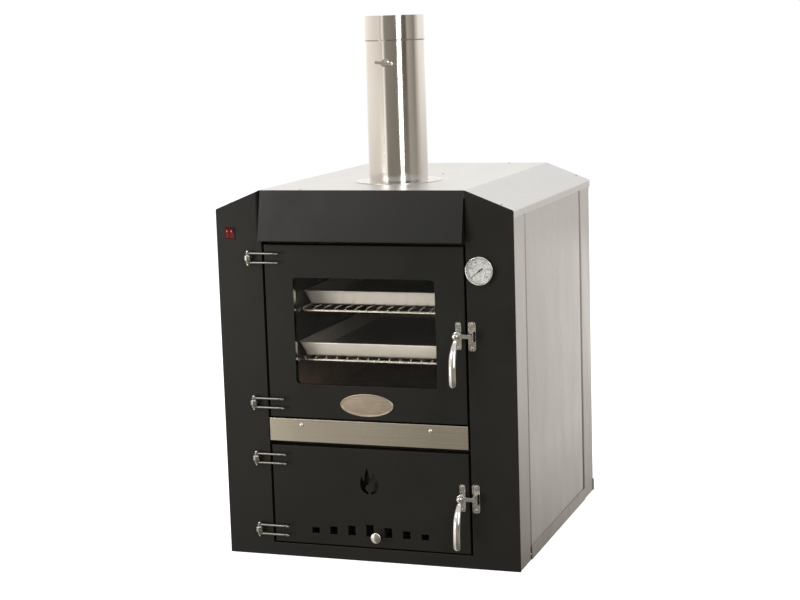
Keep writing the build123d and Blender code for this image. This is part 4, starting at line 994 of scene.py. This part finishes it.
lens_rings = [
    (0.0, 0.0080),
    (0.0313, 0.0080),
    (0.0313, 0.0086),
    (0.0290, 0.0088),
    (0.0220, 0.0091),
    (0.0120, 0.0094),
    (0.0, 0.0095),
]
gauge_glass = clear("gauge_glass", (0.98, 0.99, 0.98), 0.0, 1.45)
lens = placed(turned(lens_rings, 72), GAUGE)
fitted(lens, "thermometer_lens", gauge_glass, "oven", ["thermometer_glass"])

# Double switch: a black moulded frame clipped into the left panel, and two red rockers, for the lamp
# and the fan, each with a white bar on the half that is pressed for on. The bars also stand in for the
# rockers' glints, as a painted highlight.

moulded = new_finish("black_moulding", (0.016, 0.016, 0.017), rough=0.42, Specular_IOR_Level=0.3)
eased_edges(moulded, 0.0006)
tone(moulded, grain(moulded, 0.01, detail=3), (0.012, 0.012, 0.013), (0.022, 0.022, 0.023))
roughened(moulded, grain(moulded, 0.004), 0.36, 0.5)
relief(moulded, grain(moulded, 0.0006), 0.00003)
dress(moulded, "switch_housing")

rocker_red = new_finish("rocker_red", (0.17, 0.002, 0.003), rough=0.2, Specular_IOR_Level=0.3)
eased_edges(rocker_red, 0.0010)
tone(rocker_red, grain(rocker_red, 0.008, detail=2), (0.12, 0.001, 0.002), (0.22, 0.003, 0.004))
roughened(rocker_red, grain(rocker_red, 0.004), 0.14, 0.26)
dress(rocker_red, "light_rocker", "fan_rocker")

mark_and_glint_white = new_finish("mark_and_glint_white", (0.80, 0.78, 0.76), rough=0.4)
tone(mark_and_glint_white, grain(mark_and_glint_white, 0.001), (0.74, 0.72, 0.70), (0.84, 0.83, 0.81))
ROCKER_LEAN = 16.2
bar = Matrix.Diagonal((0.0018, 0.0002, 0.0058, 1))
# The white bars are printed marks and also a painted highlight, set where the rockers catch the light.
for body, x in (("light_rocker", -0.3552), ("fan_rocker", -0.3436)):
    mark = bmesh.new()
    on_half = Matrix.Translation((x, FRONT - 0.0031, 0.8302)) @ turned_by(-ROCKER_LEAN, "X")
    bmesh.ops.create_cube(mark, size=1, matrix=on_half @ bar)
    fitted(mark, body + "_mark", mark_and_glint_white, body)

# Oven lamp: a white ceramic holder through the jacket and the chamber's right wall, with a thick domed
# glass lens screwed on from inside.

ceramic = new_finish("lamp_ceramic", (0.74, 0.70, 0.62), rough=0.45)
tone(ceramic, grain(ceramic, 0.01, detail=4), (0.66, 0.61, 0.52), (0.80, 0.77, 0.70))
roughened(ceramic, grain(ceramic, 0.006), 0.36, 0.55)
in_wall = Matrix.Translation((0.2125, -0.150, 0.725)) @ facing_right
holder_rings = [
    (0.0, 0.0015),
    (0.0178, 0.0015),
    (0.0186, 0.0),
    (0.0190, 0.0004),
    (0.0190, 0.0895),
    (0.0224, 0.0895),
    (0.0230, 0.0901),
    (0.0230, 0.0949),
    (0.0224, 0.0955),
    (0.0, 0.0955),
]
holder = placed(turned(holder_rings, 40), in_wall)
fitted(holder, "lamp_holder", ceramic, "oven", ["oven_lamp"])
lamp_glass = clear("lamp_glass", (0.97, 0.96, 0.92), 0.08, 1.48)
dome_rings = [
    (0.0, 0.0),
    (0.0176, 0.0),
    (0.0180, -0.0004),
    (0.0172, -0.0026),
    (0.0150, -0.0044),
    (0.0115, -0.0058),
    (0.0070, -0.0067),
    (0.0, -0.0070),
]
dome = placed(turned(dome_rings, 40), in_wall)
fitted(dome, "lamp_lens", lamp_glass, "oven")

# Circulation fan: a pressed steel wheel behind the chamber's back wall opening, on a long shaft to a
# motor that is bolted inside the rear panel.

motor_skin = new_finish("motor_steel", (0.36, 0.35, 0.34), metal=1.0, rough=0.42)
eased_edges(motor_skin, 0.0008)
tone(motor_skin, grain(motor_skin, 0.03, detail=5), (0.28, 0.27, 0.26), (0.43, 0.42, 0.40))
patched(motor_skin, grain(motor_skin, 0.05, detail=4), 0.5, (0.24, 0.19, 0.14), 0.55, 0.75)
roughened(motor_skin, grain(motor_skin, 0.01, detail=4), 0.34, 0.54)
relief(motor_skin, grain(motor_skin, 0.0012, detail=3), 0.00003)
dress(motor_skin, "fan_motor", "fan_impeller")

# Racks: nickel-plated wire, resistance-welded, which browns slightly where it sits on the rails.

nickel = new_finish("nickel_wire", (0.60, 0.57, 0.52), metal=1.0, rough=0.22)
tone(nickel, grain(nickel, 0.02, detail=4), (0.50, 0.47, 0.42), (0.66, 0.63, 0.58))
patched(nickel, grain(nickel, 0.06, detail=3), 0.4, (0.40, 0.31, 0.20), 0.55, 0.75)
roughened(nickel, grain(nickel, 0.006), 0.18, 0.32)
dress(nickel, "upper_rack", "lower_rack")

# Trays: pressed from aluminised steel, with sloping walls and a rolled rim. The walls are pale and
# satin, the upper tray's are painted a little greyer as painted shade, and both floors are baked dark.

tray_metal = new_finish("aluminised_tray", (0.62, 0.59, 0.54), metal=0.75, rough=0.31)
eased_edges(tray_metal, 0.0008)
tone(tray_metal, grain(tray_metal, 0.03, detail=5), (0.64, 0.62, 0.585), (0.70, 0.68, 0.645))
# Painted shade: the upper tray is painted greyer to offset the extra light that reaches it.
laid_over(tray_metal, past(tray_metal, 0.60, 0.63), (0.52, 0.505, 0.475))
patched(tray_metal, grain(tray_metal, 0.09, detail=3), 0.2, (0.46, 0.41, 0.34), 0.5, 0.75)
for floor_z in (0.5068, 0.6328):
    above = past(tray_metal, floor_z + 0.0015, floor_z + 0.0030)
    below = past(tray_metal, floor_z - 0.0001, floor_z)
    baked = times(tray_metal, below, ranged(tray_metal, above, 0.85, 0, 0, 1))
    laid_over(tray_metal, baked, (0.075, 0.055, 0.042))
relief(tray_metal, grain(tray_metal, 0.06, detail=2), 0.0004)
dress(tray_metal, "upper_tray", "lower_tray")

# Cable gland: a moulded hexagon with a ribbed, domed cap, screwed into the rear panel where the supply
# enters.

at_gland = Matrix.Translation((-0.300, 0.394, 0.070)) @ turned_by(-90, "X")
cap_profile = [
    (0.0040, -0.0140),
    (0.0060, -0.0140),
    (0.0060, 0.0),
    (0.0100, 0.0055),
    (0.0100, 0.0062),
    (0.0100, 0.0132),
    (0.0094, 0.0155),
    (0.0078, 0.0174),
    (0.0058, 0.0180),
    (0.0044, 0.0180),
    (0.0040, 0.0176),
    (0.0040, -0.0140),
]
gland = turned(cap_profile, 36)
bands = [f for f in gland.faces if abs(f.normal.z) < 0.1 and 0.007 < f.calc_center_median().z < 0.012]
ribs = [f for f in bands if f.calc_center_median().to_2d().length > 0.009]
ribs.sort(key=lambda f: math.atan2(f.calc_center_median().y, f.calc_center_median().x))
bmesh.ops.inset_individual(gland, faces=ribs[::2], thickness=0.0002, depth=-0.0005)
hexagon = bmesh.ops.create_cone(
    gland,
    cap_ends=True,
    segments=6,
    radius1=0.012,
    radius2=0.012,
    depth=0.006,
    matrix=Matrix.Translation((0, 0, 0.003)),
)["verts"]
hex_edges = list({edge for vert in hexagon for edge in vert.link_edges})
bevelled(gland, hex_edges, 0.0007)
placed(gland, at_gland)
fitted(gland, "supply_gland", moulded, "oven", ["cable_gland"])
